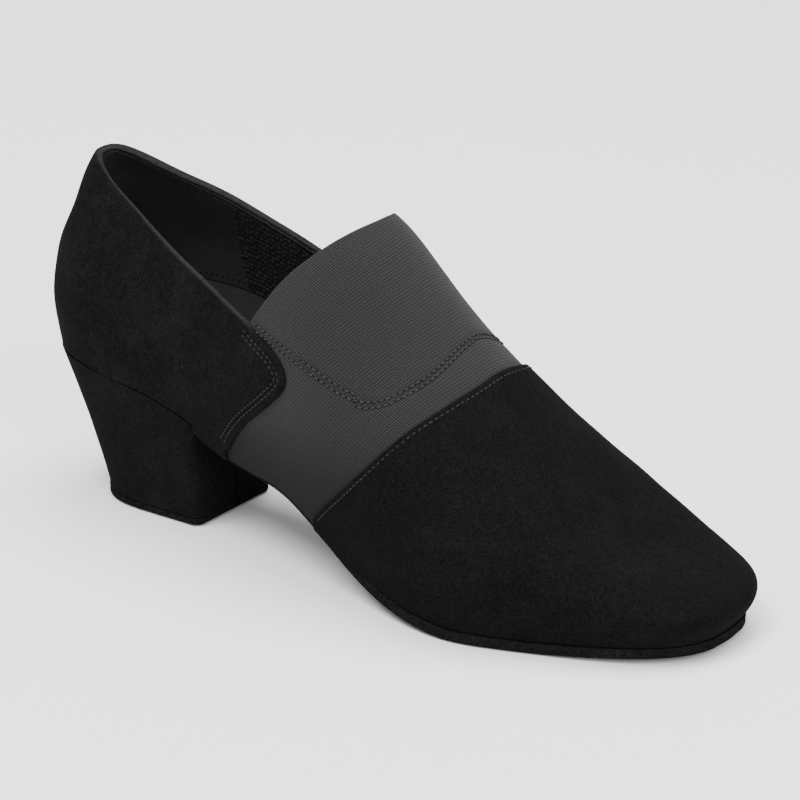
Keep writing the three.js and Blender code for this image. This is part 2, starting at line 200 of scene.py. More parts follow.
@dataclass
class Last:
    """The shoe's last: the surface that every panel lies on.

    Lengths are in metres. A point has a share of the length xi, a side and a level t,
    0 at the feather edge, the widest level where the section is widest, 1 on the ridge.
    """

    length: float = 246 * MM
    ball_width: float = 86 * MM
    instep: float = 90 * MM
    heel_height: float = 48 * MM
    back_height: float = 65 * MM
    toe_spring: float = 2 * MM
    toe_wall: float = 3 * MM
    toe_slope: float = 20 * MM
    toe_dome: float = 0.6
    toe_swing: float = 7.5 * MM
    swing_start: float = 0.45
    sole: float = 3.4 * MM
    widest_level: float = 0.34
    toe_round: float = 0.212
    toe_power: float = 2.65
    heel_round: float = 0.19
    heel_power: float = 2.5
    origin: float = 43.9 * MM
    _tables: dict = field(default_factory=dict)

    def __post_init__(self) -> None:
        """Makes the splines of the sections and of the back curve."""
        xs = np.array([s.xi for s in SECTIONS])
        for key in Section.__dataclass_fields__:
            self._tables[key] = spline(xs, np.array([getattr(s, key) for s in SECTIONS]))
        curve = np.array(HEEL_CURVE)
        self._tables["lean"] = spline(curve[:, 0], curve[:, 1])

    def feather(self, xi: np.ndarray) -> np.ndarray:
        """Height of the feather edge.

        Args:
            xi: Shares of the length.

        Returns:
            Heights over the floor.
        """
        rise = np.maximum(self._tables["rise"](xi), 0) * (self.heel_height - self.sole)
        return self.sole + rise + np.maximum(self._tables["spring"](xi), 0) * self.toe_spring

    def point(self, xi: np.ndarray, side: np.ndarray, t: np.ndarray) -> np.ndarray:
        """Points of the surface.

        Args:
            xi: Shares of the length.
            side: -1 for the lateral side and 1 for the medial one.
            t: Levels.

        Returns:
            Points, the last axis being x, y, z.
        """
        xi, side, t = np.broadcast_arrays(np.asarray(xi, float), np.asarray(side, float),
                                          np.asarray(t, float))
        tab = self._tables
        foot = self.feather(xi)
        height = tab["height"](xi) * self.instep
        bulge = foot + tab["widest"](xi) * height
        wide = np.where(side > 0, tab["medial"](xi), tab["lateral"](xi)) * self.ball_width
        narrow = np.where(side > 0, tab["medial_foot"](xi), tab["lateral_foot"](xi))
        narrow = narrow * self.ball_width
        low = t < self.widest_level
        a = np.clip(t / self.widest_level, 0, 1) * math.pi / 2
        b = np.clip((t - self.widest_level) / (1 - self.widest_level), 0, 1) * math.pi / 2
        power = 2 / tab["round"](xi)
        across = np.maximum(np.cos(b), 0) ** power
        y = np.where(low, narrow + (wide - narrow) * np.sin(a), wide * across)
        z = np.where(low, foot + (bulge - foot) * t / self.widest_level,
                     bulge + (foot + height - bulge) * np.sin(b) ** power)
        toe = np.clip((xi - 1 + self.toe_round) / self.toe_round, 0, 1)
        heel = np.clip((self.heel_round - xi) / self.heel_round, 0, 1)
        y = y * (1 - toe ** self.toe_power) ** (1 / self.toe_power)
        y = y * (1 - heel ** self.heel_power) ** (1 / self.heel_power)
        slope = self.toe_slope * np.clip((xi - self.toe_dome) / (1 - self.toe_dome), 0, 1) ** 2
        front = np.where(low, self.length - self.toe_wall * (1 - np.sin(a)),
                         self.length - slope * (1 - across ** 2))
        back = tab["lean"]((z - foot) / self.back_height) * self.length
        ahead = np.clip((xi - self.swing_start) / (1 - self.swing_start), 0, 1)
        y = side * y + self.toe_swing * ahead ** 2
        return np.stack([back + xi * (front - back) - self.origin, y, z], -1)

    def normal(self, xi: np.ndarray, side: np.ndarray, t: np.ndarray) -> np.ndarray:
        """Outward unit normals of the surface.

        Args:
            xi: Shares of the length.
            side: -1 or 1.
            t: Levels.

        Returns:
            Unit vectors.
        """
        xi, side, t = np.broadcast_arrays(np.asarray(xi, float), np.asarray(side, float),
                                          np.asarray(t, float))
        e = 1e-4
        x = np.clip(xi, 2 * e, 1 - 2 * e)
        s = np.clip(t, 2 * e, 1 - 12 * e)
        along = self.point(x + e, side, s) - self.point(x - e, side, s)
        upward = self.point(x, side, s + e) - self.point(x, side, s - e)
        out = np.cross(along, upward) * -side[..., None]
        shared = (xi < 3 * e) | (xi > 1 - 3 * e) | (t > 1 - 13 * e)
        out[..., 1] = np.where(shared, 0.0, out[..., 1])
        return unit(out)

    def grown(self, xi: np.ndarray, side: np.ndarray, t: np.ndarray,
              grow: float | np.ndarray) -> np.ndarray:
        """Points of the surface moved out along its normals.

        Args:
            xi: Shares of the length.
            side: -1 or 1.
            t: Levels.
            grow: How far they move out.

        Returns:
            The moved points.
        """
        return self.point(xi, side, t) + self.normal(xi, side, t) * np.asarray(grow)[..., None]

    def trace(self, rows: tuple[Spot, ...], side: float, count: int = 160) -> np.ndarray:
        """Lays a panel's border on one side of the last.

        Args:
            rows: The border's points.
            side: -1 or 1.
            count: How many points it gets.

        Returns:
            Rows of share and level, evenly spaced along the surface.
        """
        xi = np.array([r.xi for r in rows])
        t = np.array([r.level for r in rows])
        reach = distances(self.point(xi, side, t))
        at = np.linspace(0, reach[-1], 3 * count)
        return self.even(spline(reach, xi)(at), np.clip(spline(reach, t)(at), 0, 1), side, count)

    def share_on(self, rows: tuple[Spot, ...], side: float, t: np.ndarray) -> np.ndarray:
        """Finds where a border reaches levels.

        Args:
            rows: The border's points.
            side: -1 or 1.
            t: The levels.

        Returns:
            The shares of the length.
        """
        curve = self.trace(rows, side)
        order = np.argsort(curve[:, 1])
        return np.interp(t, curve[order, 1], curve[order, 0])

    def even(self, xi: np.ndarray, t: np.ndarray, side: float, count: int) -> np.ndarray:
        """Spaces a surface curve evenly.

        Args:
            xi: Shares of the length.
            t: Levels.
            side: -1 or 1.
            count: How many points come out.

        Returns:
            Rows of share and level.
        """
        reach = distances(self.point(xi, side, t))
        at = np.linspace(0, reach[-1], count)
        return np.stack([np.interp(at, reach, xi), np.interp(at, reach, t)], -1)


@dataclass(frozen=True)
class Dent:
    """A soft trough, or a ridge where its depth is negative, in the shoe's own sizes."""

    x: float
    y: float
    z: float
    along: float
    across: float
    depth: float
    turn: float = 0.0


def soften(points: np.ndarray, normals: np.ndarray, dents: tuple[Dent, ...]) -> np.ndarray:
    """Presses dents into a sheet.

    Args:
        points: Points of the sheet.
        normals: Its outward normals.
        dents: The dents, in millimetres.

    Returns:
        The moved points.
    """
    moved = points.copy()
    for dent in dents:
        rel = points / MM - np.array([dent.x, dent.y, dent.z])
        turn = math.radians(dent.turn)
        run = rel[..., 0] * math.cos(turn) + rel[..., 2] * math.sin(turn)
        rise = -rel[..., 0] * math.sin(turn) + rel[..., 2] * math.cos(turn)
        cross = np.hypot(rise, rel[..., 1])
        weight = np.exp(-(run / dent.along) ** 2 - (cross / dent.across) ** 2)
        moved -= normals * (weight * dent.depth * MM)[..., None]
    return moved


def waver(points: np.ndarray, size: float, depth: float, seed: float) -> np.ndarray:
    """Slow unevenness of a soft surface.

    Args:
        points: Points in metres.
        size: Wavelength in metres.
        depth: Largest height in metres.
        seed: Shift of the pattern.

    Returns:
        A height for each point.
    """
    p = points / size * 2 * math.pi + seed
    x, y, z = p[..., 0], p[..., 1], p[..., 2]
    wave = np.sin(x + 1.3 * np.sin(0.7 * y)) * np.sin(1.1 * z + 0.4 * x)
    wave += 0.5 * np.sin(2.1 * x - 1.7 * z + 0.6) * np.sin(1.9 * y + 0.8 * z)
    return depth * wave / 1.5


class Workshop:
    """Makes meshes through Blender's operators."""

    @staticmethod
    def only(obj: bpy.types.Object) -> None:
        """Selects one object and makes it active.

        Args:
            obj: The object.
        """
        bpy.ops.object.select_all(action="DESELECT")
        obj.select_set(True)
        bpy.context.view_layer.objects.active = obj

    @classmethod
    def edit(cls, obj: bpy.types.Object, operator: Callable, **settings: object) -> None:
        """Runs an edit mode operator on the whole of a piece.

        Args:
            obj: The piece.
            operator: The operator.
            settings: The operator's settings.
        """
        cls.only(obj)
        bpy.ops.object.mode_set(mode="EDIT")
        bpy.ops.mesh.select_all(action="SELECT")
        operator(**settings)
        bpy.ops.object.mode_set(mode="OBJECT")

    @staticmethod
    def values(items: bpy.types.bpy_prop_collection, key: str) -> np.ndarray:
        """Reads a vector that each item of a mesh has.

        Args:
            items: The mesh's points or faces.
            key: The vector's name.

        Returns:
            A row for each item.
        """
        data = np.empty(len(items) * 3)
        items.foreach_get(key, data)
        return data.reshape(-1, 3)

    @staticmethod
    def put_points(obj: bpy.types.Object, points: np.ndarray) -> None:
        """Moves a mesh's points."""
        obj.data.vertices.foreach_set("co", points.astype(np.float32).ravel())

    @classmethod
    def sheet(cls, name: str, points: np.ndarray, uv: np.ndarray | None = None,
              closed: bool = False) -> bpy.types.Object:
        """Lays a grid primitive on a field of points.

        Args:
            name: The piece's name.
            points: Rows by columns of points.
            uv: Lengths for the UV map, rows by columns of pairs.
            closed: True to merge points that meet.

        Returns:
            The new object, with points that meet merged where it is closed.
        """
        rows, cols = points.shape[:2]
        bpy.ops.object.select_all(action="DESELECT")
        bpy.ops.mesh.primitive_grid_add(x_subdivisions=cols - 1, y_subdivisions=rows - 1, size=0.2)
        obj = bpy.context.active_object
        obj.name = obj.data.name = name
        mesh = obj.data
        if len(mesh.vertices) != rows * cols:
            raise ValueError(f"grid of {name} has {len(mesh.vertices)} points, not {rows * cols}")
        cls.put_points(obj, points)
        layer = mesh.uv_layers.active or mesh.uv_layers.new(name="UVMap")
        if uv is not None:
            index = np.empty(len(mesh.loops), dtype=np.int32)
            mesh.loops.foreach_get("vertex_index", index)
            layer.data.foreach_set("uv", uv.reshape(-1, 2)[index].astype(np.float32).ravel())
        mesh.update()
        if closed:
            cls.edit(obj, bpy.ops.mesh.remove_doubles, threshold=2e-6)
        return obj

    @classmethod
    def outward(cls, obj: bpy.types.Object) -> None:
        """Turns every face of a closed piece outwards."""
        cls.edit(obj, bpy.ops.mesh.normals_make_consistent, inside=False)

    @classmethod
    def outward_like(cls, obj: bpy.types.Object, normal: np.ndarray, place: np.ndarray) -> None:
        """Turns a sheet's faces so that they point as asked at a place.

        Args:
            obj: The sheet.
            normal: The wished direction.
            place: Where it is known.
        """
        mesh = obj.data
        index = np.argmin(((cls.values(mesh.polygons, "center") - place) ** 2).sum(1))
        if np.dot(cls.values(mesh.polygons, "normal")[index], normal) < 0:
            cls.edit(obj, bpy.ops.mesh.flip_normals)

    @classmethod
    def fill_ends(cls, obj: bpy.types.Object) -> None:
        """Closes each open rim of a piece with a face.

        Args:
            obj: The piece.
        """
        cls.only(obj)
        bpy.ops.object.mode_set(mode="EDIT")
        bpy.ops.mesh.select_all(action="DESELECT")
        bpy.ops.mesh.select_mode(type="EDGE")
        bpy.ops.mesh.select_non_manifold(extend=False, use_boundary=True, use_wire=False,
                                         use_multi_face=False, use_non_contiguous=False,
                                         use_verts=False)
        bpy.ops.mesh.edge_face_add()
        bpy.ops.mesh.select_mode(type="VERT")
        bpy.ops.object.mode_set(mode="OBJECT")

    @classmethod
    def modifier(cls, obj: bpy.types.Object, kind: str, **settings: object) -> None:
        """Adds a modifier and applies it.

        Args:
            obj: The piece.
            kind: The modifier's type.
            settings: Its values.
        """
        cls.only(obj)
        mod = obj.modifiers.new(kind.lower(), kind)
        for key, value in settings.items():
            setattr(mod, key, value)
        bpy.ops.object.modifier_apply(modifier=mod.name)

    @classmethod
    def smooth(cls, obj: bpy.types.Object, angle: float = 40) -> None:
        """Shades a piece smooth, but for edges sharper than an angle in degrees."""
        cls.only(obj)
        bpy.ops.object.shade_smooth_by_angle(angle=math.radians(angle))

    @classmethod
    def thicken(cls, obj: bpy.types.Object, thickness: float, angle: float = 60,
                **settings: object) -> None:
        """Gives a sheet its thickness, inwards, and shades it smooth.

        Args:
            obj: The sheet.
            thickness: Its thickness.
            angle: Angle of the edges that stay sharp, in degrees.
            settings: Other values of the modifier.
        """
        cls.modifier(obj, "SOLIDIFY", thickness=thickness, offset=-1, **settings)
        cls.smooth(obj, angle)

    @classmethod
    def join(cls, name: str, parts: list[bpy.types.Object]) -> bpy.types.Object:
        """Joins pieces into one object.

        Args:
            name: Its name.
            parts: The pieces.

        Returns:
            The joined piece.
        """
        bpy.ops.object.select_all(action="DESELECT")
        for obj in parts:
            obj.select_set(True)
        bpy.context.view_layer.objects.active = parts[0]
        bpy.ops.object.join()
        obj = bpy.context.active_object
        obj.name = obj.data.name = name
        return obj

    @classmethod
    def copies(cls, name: str, model: bpy.types.Object, frames: list[Matrix]) -> bpy.types.Object:
        """Repeats a small model as one joined mesh and deletes the model.

        Args:
            name: The new piece's name.
            model: The shape to repeat.
            frames: A matrix for each copy.

        Returns:
            The joined piece.
        """
        source = model.data
        count = len(source.vertices)
        co = np.c_[cls.values(source.vertices, "co"), np.ones(count)]
        faces = [tuple(p.vertices) for p in source.polygons]
        points = np.concatenate([co @ np.array(m).T for m in frames])[:, :3]
        all_faces = [tuple(v + k * count for v in f) for k in range(len(frames)) for f in faces]
        mesh = bpy.data.meshes.new(name)
        mesh.from_pydata(points.tolist(), [], all_faces)
        mesh.update()
        obj = bpy.data.objects.new(name, mesh)
        bpy.context.collection.objects.link(obj)
        bpy.data.objects.remove(model)
        return obj


class Nodes:
    """A material's node tree, with short ways to add and link nodes."""

    def __init__(self, name: str) -> None:
        """Starts a material.

        Args:
            name: Its name.
        """
        self.material = bpy.data.materials.new(name)
        self.material.use_nodes = True
        self.tree = self.material.node_tree
        self.shader = self.tree.nodes["Principled BSDF"]
        self.coords = self.tree.nodes.new("ShaderNodeTexCoord")

    def add(self, kind: str, **inputs: object) -> bpy.types.Node:
        """Adds a node.

        Args:
            kind: The node's type.
            inputs: What its sockets get, by their names.

        Returns:
            The node.
        """
        node = self.tree.nodes.new(kind)
        for key, value in inputs.items():
            self.put(node.inputs[key], value)
        return node

    def put(self, socket: bpy.types.NodeSocket, value: object) -> None:
        """Links an output to a socket, or sets the socket's value.

        Args:
            socket: The socket.
            value: An output or a constant.
        """
        if isinstance(value, bpy.types.NodeSocket):
            self.tree.links.new(value, socket)
        else:
            socket.default_value = value

    def math(self, operation: str, a: object, b: object = 0.0,
             clamp: bool = False) -> bpy.types.NodeSocket:
        """Joins two values by an operation.

        Args:
            operation: The operation.
            a: First value.
            b: Second value.
            clamp: True to keep the result between 0 and 1.

        Returns:
            The result.
        """
        node = self.tree.nodes.new("ShaderNodeMath")
        node.operation, node.use_clamp = operation, clamp
        self.put(node.inputs[0], a)
        self.put(node.inputs[1], b)
        return node.outputs[0]

    def times(self, a: object, b: object, clamp: bool = False) -> bpy.types.NodeSocket:
        """Product of two values."""
        return self.math("MULTIPLY", a, b, clamp)

    def plus(self, a: object, b: object, clamp: bool = False) -> bpy.types.NodeSocket:
        """Sum of two values."""
        return self.math("ADD", a, b, clamp)

    def wave(self, turns: object) -> bpy.types.NodeSocket:
        """Sine of a number of turns."""
        return self.math("SINE", self.times(turns, 2 * math.pi))

    def mix(self, share: object, a: object, b: object) -> bpy.types.NodeSocket:
        """Colour between two colours.

        Args:
            share: Share of the second colour.
            a: First colour.
            b: Second colour.

        Returns:
            The colour.
        """
        node = self.tree.nodes.new("ShaderNodeMix")
        node.data_type = "RGBA"
        for index, value in ((0, share), (6, a), (7, b)):
            self.put(node.inputs[index], value)
        return node.outputs[2]

    def ramp(self, value: object, low: float, high: float, a: float = 0.0,
             b: float = 1.0) -> bpy.types.NodeSocket:
        """Maps a value from one range to another, clamped and smooth.

        Args:
            value: The value.
            low: Start of its range.
            high: End of its range.
            a: Result at the start.
            b: Result at the end.

        Returns:
            The result.
        """
        node = self.tree.nodes.new("ShaderNodeMapRange")
        node.interpolation_type = "SMOOTHSTEP"
        for index, item in enumerate((value, low, high, a, b)):
            self.put(node.inputs[index], item)
        return node.outputs[0]

    def noise(self, scale: float, detail: float = 2.0, rough: float = 0.5) -> bpy.types.NodeSocket:
        """Factor of a noise on the object's own coordinates.

        Args:
            scale: Its scale per metre.
            detail: Its octaves.
            rough: Weight of each finer octave.

        Returns:
            The factor.
        """
        return self.add("ShaderNodeTexNoise", Vector=self.coords.outputs["Object"], Scale=scale,
                        Detail=detail, Roughness=rough).outputs[0]

    def split(self, space: str) -> bpy.types.bpy_prop_collection:
        """The three parts of the Object or UV coordinates."""
        return self.add("ShaderNodeSeparateXYZ", Vector=self.coords.outputs[space]).outputs

    def bump(self, height: object, distance: float, strength: float = 1.0) -> bpy.types.NodeSocket:
        """Normal bent by a height.

        Args:
            height: The height.
            distance: What a height of 1 measures, in metres.
            strength: Share of the effect.

        Returns:
            The normal.
        """
        return self.add("ShaderNodeBump", Strength=strength, Distance=distance,
                        Height=height).outputs[0]

    def surface(self, colour: object, roughness: float, normal: object = None,
                **constants: float) -> None:
        """Sets the shader.

        Args:
            colour: Its colour.
            roughness: Its roughness.
            normal: A bent normal, if any.
            constants: Other values by their socket's name, with _ for blanks.
        """
        self.put(self.shader.inputs["Base Color"], colour)
        self.put(self.shader.inputs["Roughness"], roughness)
        if normal is not None:
            self.put(self.shader.inputs["Normal"], normal)
        for key, value in constants.items():
            self.shader.inputs[key.replace("_", " ")].default_value = value


@dataclass(frozen=True)
class Suede:
    """Brushed suede: matt, napped, with soft patches where the nap lies over.

    A fold of more than 0 paints a highlight, with lighter nap, on top of the collar's fold and
    lightens the cut edge inside it; the collar's UV map holds the share of the collar's fold
    and the distance from the fold's inner corner.
    """

    name: str
    dark: Colour
    light: Colour
    patch: float = 0.28
    specks: float = 1.0
    sheen: float = 0.012
    # Strength of the painted highlight on top of the collar's fold and of its lighter cut edge.
    fold: float = 0.0
    nap_scale: float = 48
    brushed_scale: float = 140
    grain_scale: float = 620
    fibre_scale: float = 2100
    lint_scale: float = 330
    lint_share: float = 0.045
    lint: Colour = (0.12, 0.115, 0.10, 1)
    # Colour of the painted highlight on the fold's top and of the fold's lighter cut edge.
    top_highlight_and_cut_edge: Colour = (0.045, 0.045, 0.044, 1)
    lustre: Colour = (0.5, 0.5, 0.49, 1)

    def build(self) -> bpy.types.Material:
        """Makes the material.

        Returns:
            The material.
        """
        n = Nodes(self.name)
        nap = n.noise(self.nap_scale, 3, 0.6)
        brushed = n.noise(self.brushed_scale, 3, 0.65)
        fibre = n.noise(self.fibre_scale, 2, 0.7)
        grain = n.noise(self.grain_scale, 3, 0.7)
        patches = n.plus(n.ramp(nap, 0.4, 0.72, 0, 0.55), n.ramp(brushed, 0.42, 0.75, 0, 0.45))
        share = n.times(patches, self.patch)
        share = n.plus(share, n.ramp(fibre, 0.36, 0.66, -0.10, 0.52))
        share = n.plus(share, n.ramp(grain, 0.34, 0.68, -0.06, 0.18), clamp=True)
        colour = n.mix(share, self.dark, self.light)
        dots = n.add("ShaderNodeTexVoronoi", Vector=n.coords.outputs["Object"],
                     Scale=self.lint_scale)
        lone = n.math("GREATER_THAN", n.times(dots.outputs["Color"], 1.0), 1 - self.lint_share)
        near = n.ramp(dots.outputs["Distance"], 0.04, 0.13, 1, 0)
        lint = n.times(n.times(lone, near), 0.22 * self.specks)
        colour = n.mix(lint, colour, self.lint)
        # Painted highlight on the collar's fold, and the fold's lighter cut edge.
        if self.fold:
            colour = n.mix(self.paint_fold_highlight_and_cut_edge(n, fibre), colour, self.top_highlight_and_cut_edge)
        height = n.plus(n.times(fibre, 0.6), n.times(grain, 0.9))
        normal = n.bump(height, 0.0003, 0.35)
        n.surface(colour, 0.96, normal, Specular_IOR_Level=0.01, Sheen_Weight=self.sheen,
                  Sheen_Roughness=0.5)
        n.shader.inputs["Sheen Tint"].default_value = self.lustre
        return n.material

    def paint_fold_highlight_and_cut_edge(self, n: Nodes, fibre: bpy.types.NodeSocket) -> bpy.types.NodeSocket:
        """Paints a highlight, with lighter nap, on top of the collar's fold, and lightens the cut
        edge inside it.

        Args:
            n: The material's nodes.
            fibre: Its fibre noise.

        Returns:
            The share of the painted highlight and of the lighter cut edge.
        """
        collar, off, _ = n.split("UV")
        fuzz = n.ramp(fibre, 0.3, 0.62, 0.25, 1.0)
        frayed = n.times(n.math("SUBTRACT", n.noise(420, 3, 0.7), 0.5), 0.9 * MM)
        ragged = n.plus(off, frayed)
        # Painted highlight, partly lighter nap: the flat top of the fold, lit from above.
        top = n.times(n.ramp(ragged, -2.4 * MM, -1.2 * MM),
                      n.ramp(ragged, -0.1 * MM, 0.7 * MM, 1, 0))
        cut = n.times(n.ramp(ragged, 0.95 * MM, 1.15 * MM),
                      n.ramp(ragged, 1.7 * MM, 1.95 * MM, 1, 0))
        both = n.plus(n.times(top, 0.4 * self.fold), n.times(cut, 0.9 * self.fold))
        return n.times(n.times(both, collar), fuzz, clamp=True)


@dataclass(frozen=True)
class Elastic:
    """Knitted elastic: ribs along the UV map's second axis, crossed by picks, as fine beads."""

    name: str
    rib: float = 0.69 * MM
    pick: float = 1.0 * MM
    slant: float = 0.098
    dark: Colour = (0.009, 0.009, 0.0095, 1)
    light: Colour = (0.0355, 0.0357, 0.0368, 1)
    # Painted shade: under these heights the colour darkens, to this share at the bottom, for the
    # shade on the low elastic that turns down and away from the light.
    painted_shade_below: float = 24 * MM
    full_above: float = 64 * MM
    painted_shade_factor: float = 0.20

    def build(self) -> bpy.types.Material:
        """Makes the material.

        Returns:
            The material.
        """
        n = Nodes(self.name)
        across, along, _ = n.split("UV")
        wobble = n.times(n.math("SUBTRACT", n.noise(170, 2), 0.5), 0.30)
        drift = n.times(n.math("SUBTRACT", n.noise(210, 2), 0.5), 0.40)
        across = n.math("SUBTRACT", across, n.times(along, self.slant))
        ribs = n.plus(n.math("DIVIDE", across, self.rib), wobble)
        picks = n.plus(n.math("DIVIDE", along, self.pick), drift)
        crown = n.ramp(n.wave(ribs), -0.9, 0.7)
        dash = n.ramp(n.wave(picks), -0.9, 0.5)
        pair = n.ramp(n.math("SINE", n.times(ribs, math.pi)), -1, 1, 0.86, 1.0)
        thread = n.times(crown, n.plus(n.times(dash, 0.6), 0.4))
        yarn = n.ramp(n.noise(1500, 2, 0.7), 0.3, 0.75, 0.8, 1.15)
        lit = n.times(n.times(thread, pair), yarn)
        height = n.split("Object")[2]
        # Random tone, times painted shade that darkens the elastic towards the bottom.
        tone_and_painted_shade = n.times(n.ramp(n.noise(28, 2), 0.35, 0.7, 0.9, 1.06),
                       n.ramp(height, self.painted_shade_below, self.full_above, self.painted_shade_factor, 1.0))
        colour = n.mix(n.times(lit, tone_and_painted_shade, clamp=True), self.dark, self.light)
        n.surface(colour, 0.9, n.bump(thread, 0.00022, 0.6), Specular_IOR_Level=0.06,
                  Sheen_Roughness=0.5)
        # Along with the painted shade, the sheen fades towards the bottom.
        n.put(n.shader.inputs["Sheen Weight"], n.ramp(height, 34 * MM, 70 * MM, 0.004, 0.05))
        return n.material


@dataclass(frozen=True)
class Cloth:
    """Lining or sock cloth, with knitted bumps on the UV map where knit is more than 0."""

    name: str
    dark: Colour
    light: Colour
    cell: float = 1.65 * MM
    knit: float = 0.0
    roughness: float = 0.9

    def build(self) -> bpy.types.Material:
        """Makes the material.

        Returns:
            The material.
        """
        n = Nodes(self.name)
        fine = n.noise(1400, 3, 0.7)
        soft = n.noise(70, 2)
        share = n.plus(n.ramp(fine, 0.3, 0.8, 0, 0.5), n.ramp(soft, 0.3, 0.7, 0, 0.3))
        height = n.times(fine, 0.25)
        if self.knit:
            loops = self.loops(n)
            share = n.times(loops, n.plus(share, self.knit), clamp=True)
            height = n.plus(height, n.times(loops, 2.2 * self.knit))
        colour = n.mix(share, self.dark, self.light)
        n.surface(colour, self.roughness, n.bump(height, 0.0004, 0.7), Specular_IOR_Level=0.1,
                  Sheen_Weight=0.03)
        return n.material

    def loops(self, n: Nodes) -> bpy.types.NodeSocket:
        """Lays round bumps in uneven rows.

        Args:
            n: The material's nodes.

        Returns:
            Their height.
        """
        bumps = n.add("ShaderNodeTexVoronoi", Vector=n.coords.outputs["UV"],
                      Scale=1 / self.cell, Randomness=0.42)
        return n.ramp(bumps.outputs["Distance"], 0.12, 0.55, 1, 0)


@dataclass(frozen=True)
class Thread:
    """Twisted sewing thread, or the painted shade of a needle hole."""

    name: str
    colour: Colour
    roughness: float = 0.8

    def build(self) -> bpy.types.Material:
        """Makes the material.

        Returns:
            The material.
        """
        n = Nodes(self.name)
        fuzz = n.noise(2600, 2, 0.6)
        dark = tuple(0.45 * c for c in self.colour[:3]) + (1,)
        colour = n.mix(n.ramp(fuzz, 0.3, 0.7), dark, self.colour)
        n.surface(colour, self.roughness, n.bump(fuzz, 0.0001, 0.5), Specular_IOR_Level=0.1)
        return n.material


@dataclass
class Kit:
    """The shoe's finishes, each made once."""

    suede: bpy.types.Material = None
    collar_suede: bpy.types.Material = None
    heel_suede: bpy.types.Material = None
    sole_suede: bpy.types.Material = None
    elastic: bpy.types.Material = None
    lining: bpy.types.Material = None
    knit: bpy.types.Material = None
    sock: bpy.types.Material = None
    grey_thread: bpy.types.Material = None
    charcoal_thread: bpy.types.Material = None
    hole: bpy.types.Material = None

    def __post_init__(self) -> None:
        """Makes the materials."""
        black, grey = (0.0030, 0.0030, 0.0030, 1), (0.0088, 0.0087, 0.0085, 1)
        self.suede = Suede("suede_black", black, grey).build()
        self.collar_suede = Suede("suede_quarter", black, (0.0104, 0.0103, 0.0100, 1), patch=0.42,
                                  fold=1.0).build()
        # The heel's suede is a lighter copy of the upper's suede: painted light that lifts the
        # shade on the heel's breast under the arch.
        self.heel_suede = Suede("suede_heel_lit", (0.0036, 0.0036, 0.0036, 1),
                                (0.0108, 0.0107, 0.0104, 1), patch=0.3).build()
        self.sole_suede = Suede("suede_sole", (0.0034, 0.0034, 0.0033, 1),
                                (0.0150, 0.0148, 0.0140, 1), specks=1.6, sheen=0.01).build()
        self.elastic = Elastic("elastic_charcoal").build()
        self.lining = Cloth("lining_black", (0.007, 0.007, 0.0072, 1),
                            (0.020, 0.020, 0.0203, 1)).build()
        self.knit = Cloth("lining_knit", (0.0045, 0.0045, 0.0047, 1),
                          (0.0175, 0.0175, 0.018, 1), knit=0.7).build()
        self.sock = Cloth("sock_black", (0.013, 0.013, 0.0132, 1),
                          (0.034, 0.034, 0.0345, 1)).build()
        self.grey_thread = Thread("thread_grey", (0.033, 0.033, 0.0324, 1)).build()
        self.charcoal_thread = Thread("thread_charcoal", (0.041, 0.0412, 0.0425, 1)).build()
        # Dark colour that paints the shade inside the needle holes; the lining's stitches are sewn
        # in it too.
        self.hole = Thread("needle_hole", (0.0045, 0.0045, 0.0045, 1), 0.95).build()


@dataclass(frozen=True)
class HemRow:
    """A row of a hem: its share of the hem's drop, and its reach inwards in millimetres."""

    drop: float
    reach: float


HEM = (HemRow(0.55, 0.12), HemRow(0.90, 0.35), HemRow(1.00, 0.80), HemRow(1.02, 2.20))


@dataclass
class Shoe:
    """What every sub-assembly of the shoe shares."""

    last: Last
    kit: Kit
    gore_depth: float = 1.15 * MM
    wall: float = 3.2 * MM

    def place(self, obj: bpy.types.Object, material: bpy.types.Material, slot: Finish,
              node: str | None = None) -> bpy.types.Object:
        """Gives a piece its material and body, and hides the CAD node it stands for.

        Args:
            obj: The piece.
            material: Its material.
            slot: Not used.
            node: The CAD node that it replaces, if any.

        Returns:
            The piece.
        """
        obj.data.materials.clear()
        obj.data.materials.append(material)
        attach(obj, "root")
        if node:
            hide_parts(node)
        log.info("%s: %d faces", obj.name, len(obj.data.polygons))
        return obj

    @staticmethod
    def over(count: int) -> tuple[np.ndarray, np.ndarray]:
        """Lays rows from the lateral feather over the ridge to the medial one.

        Args:
            count: How many rows.

        Returns:
            Their sides and levels.
        """
        w = np.linspace(-1, 1, count)
        return np.where(w < 0, -1.0, 1.0), 1 - np.abs(w)

    @staticmethod
    def side_name(side: int) -> str:
        """Plain name of a side."""
        return Side(side).name.lower()

    @staticmethod
    def hem(edge: np.ndarray, outward: np.ndarray, xi: np.ndarray) -> list[np.ndarray]:
        """Rows that turn a panel's lasted edge in over the sole, and down round its waist.

        Args:
            edge: Points of the panel's lower edge.
            outward: Outward normals there.
            xi: Their shares of the length.

        Returns:
            The rows, from the edge inwards.
        """
        inward = unit(-outward * (1, 1, 0))
        before_ball = 1 - smooth_step((xi - 0.50) / 0.12)
        past_breast = np.clip((xi - 0.262) / 0.012, 0, 1)
        drop = (0.27 + 3.4 * before_ball * past_breast) * MM
        rows = []
        for hem in HEM:
            row = edge + inward * hem.reach * MM
            row[:, 2] = np.maximum(row[:, 2] - drop * hem.drop, 0.3 * MM)
            rows.append(row)
        return rows


def away_from(points: np.ndarray, normals: np.ndarray) -> np.ndarray:
    """Finds the way out of a sheet over its first column.

    Args:
        points: The sheet's points.
        normals: Its outward normals.

    Returns:
        Unit vectors in the surface.
    """
    out = points[:, 0] - points[:, 2]
    out -= normals[:, 0] * np.sum(out * normals[:, 0], axis=1, keepdims=True)
    return unit(out)


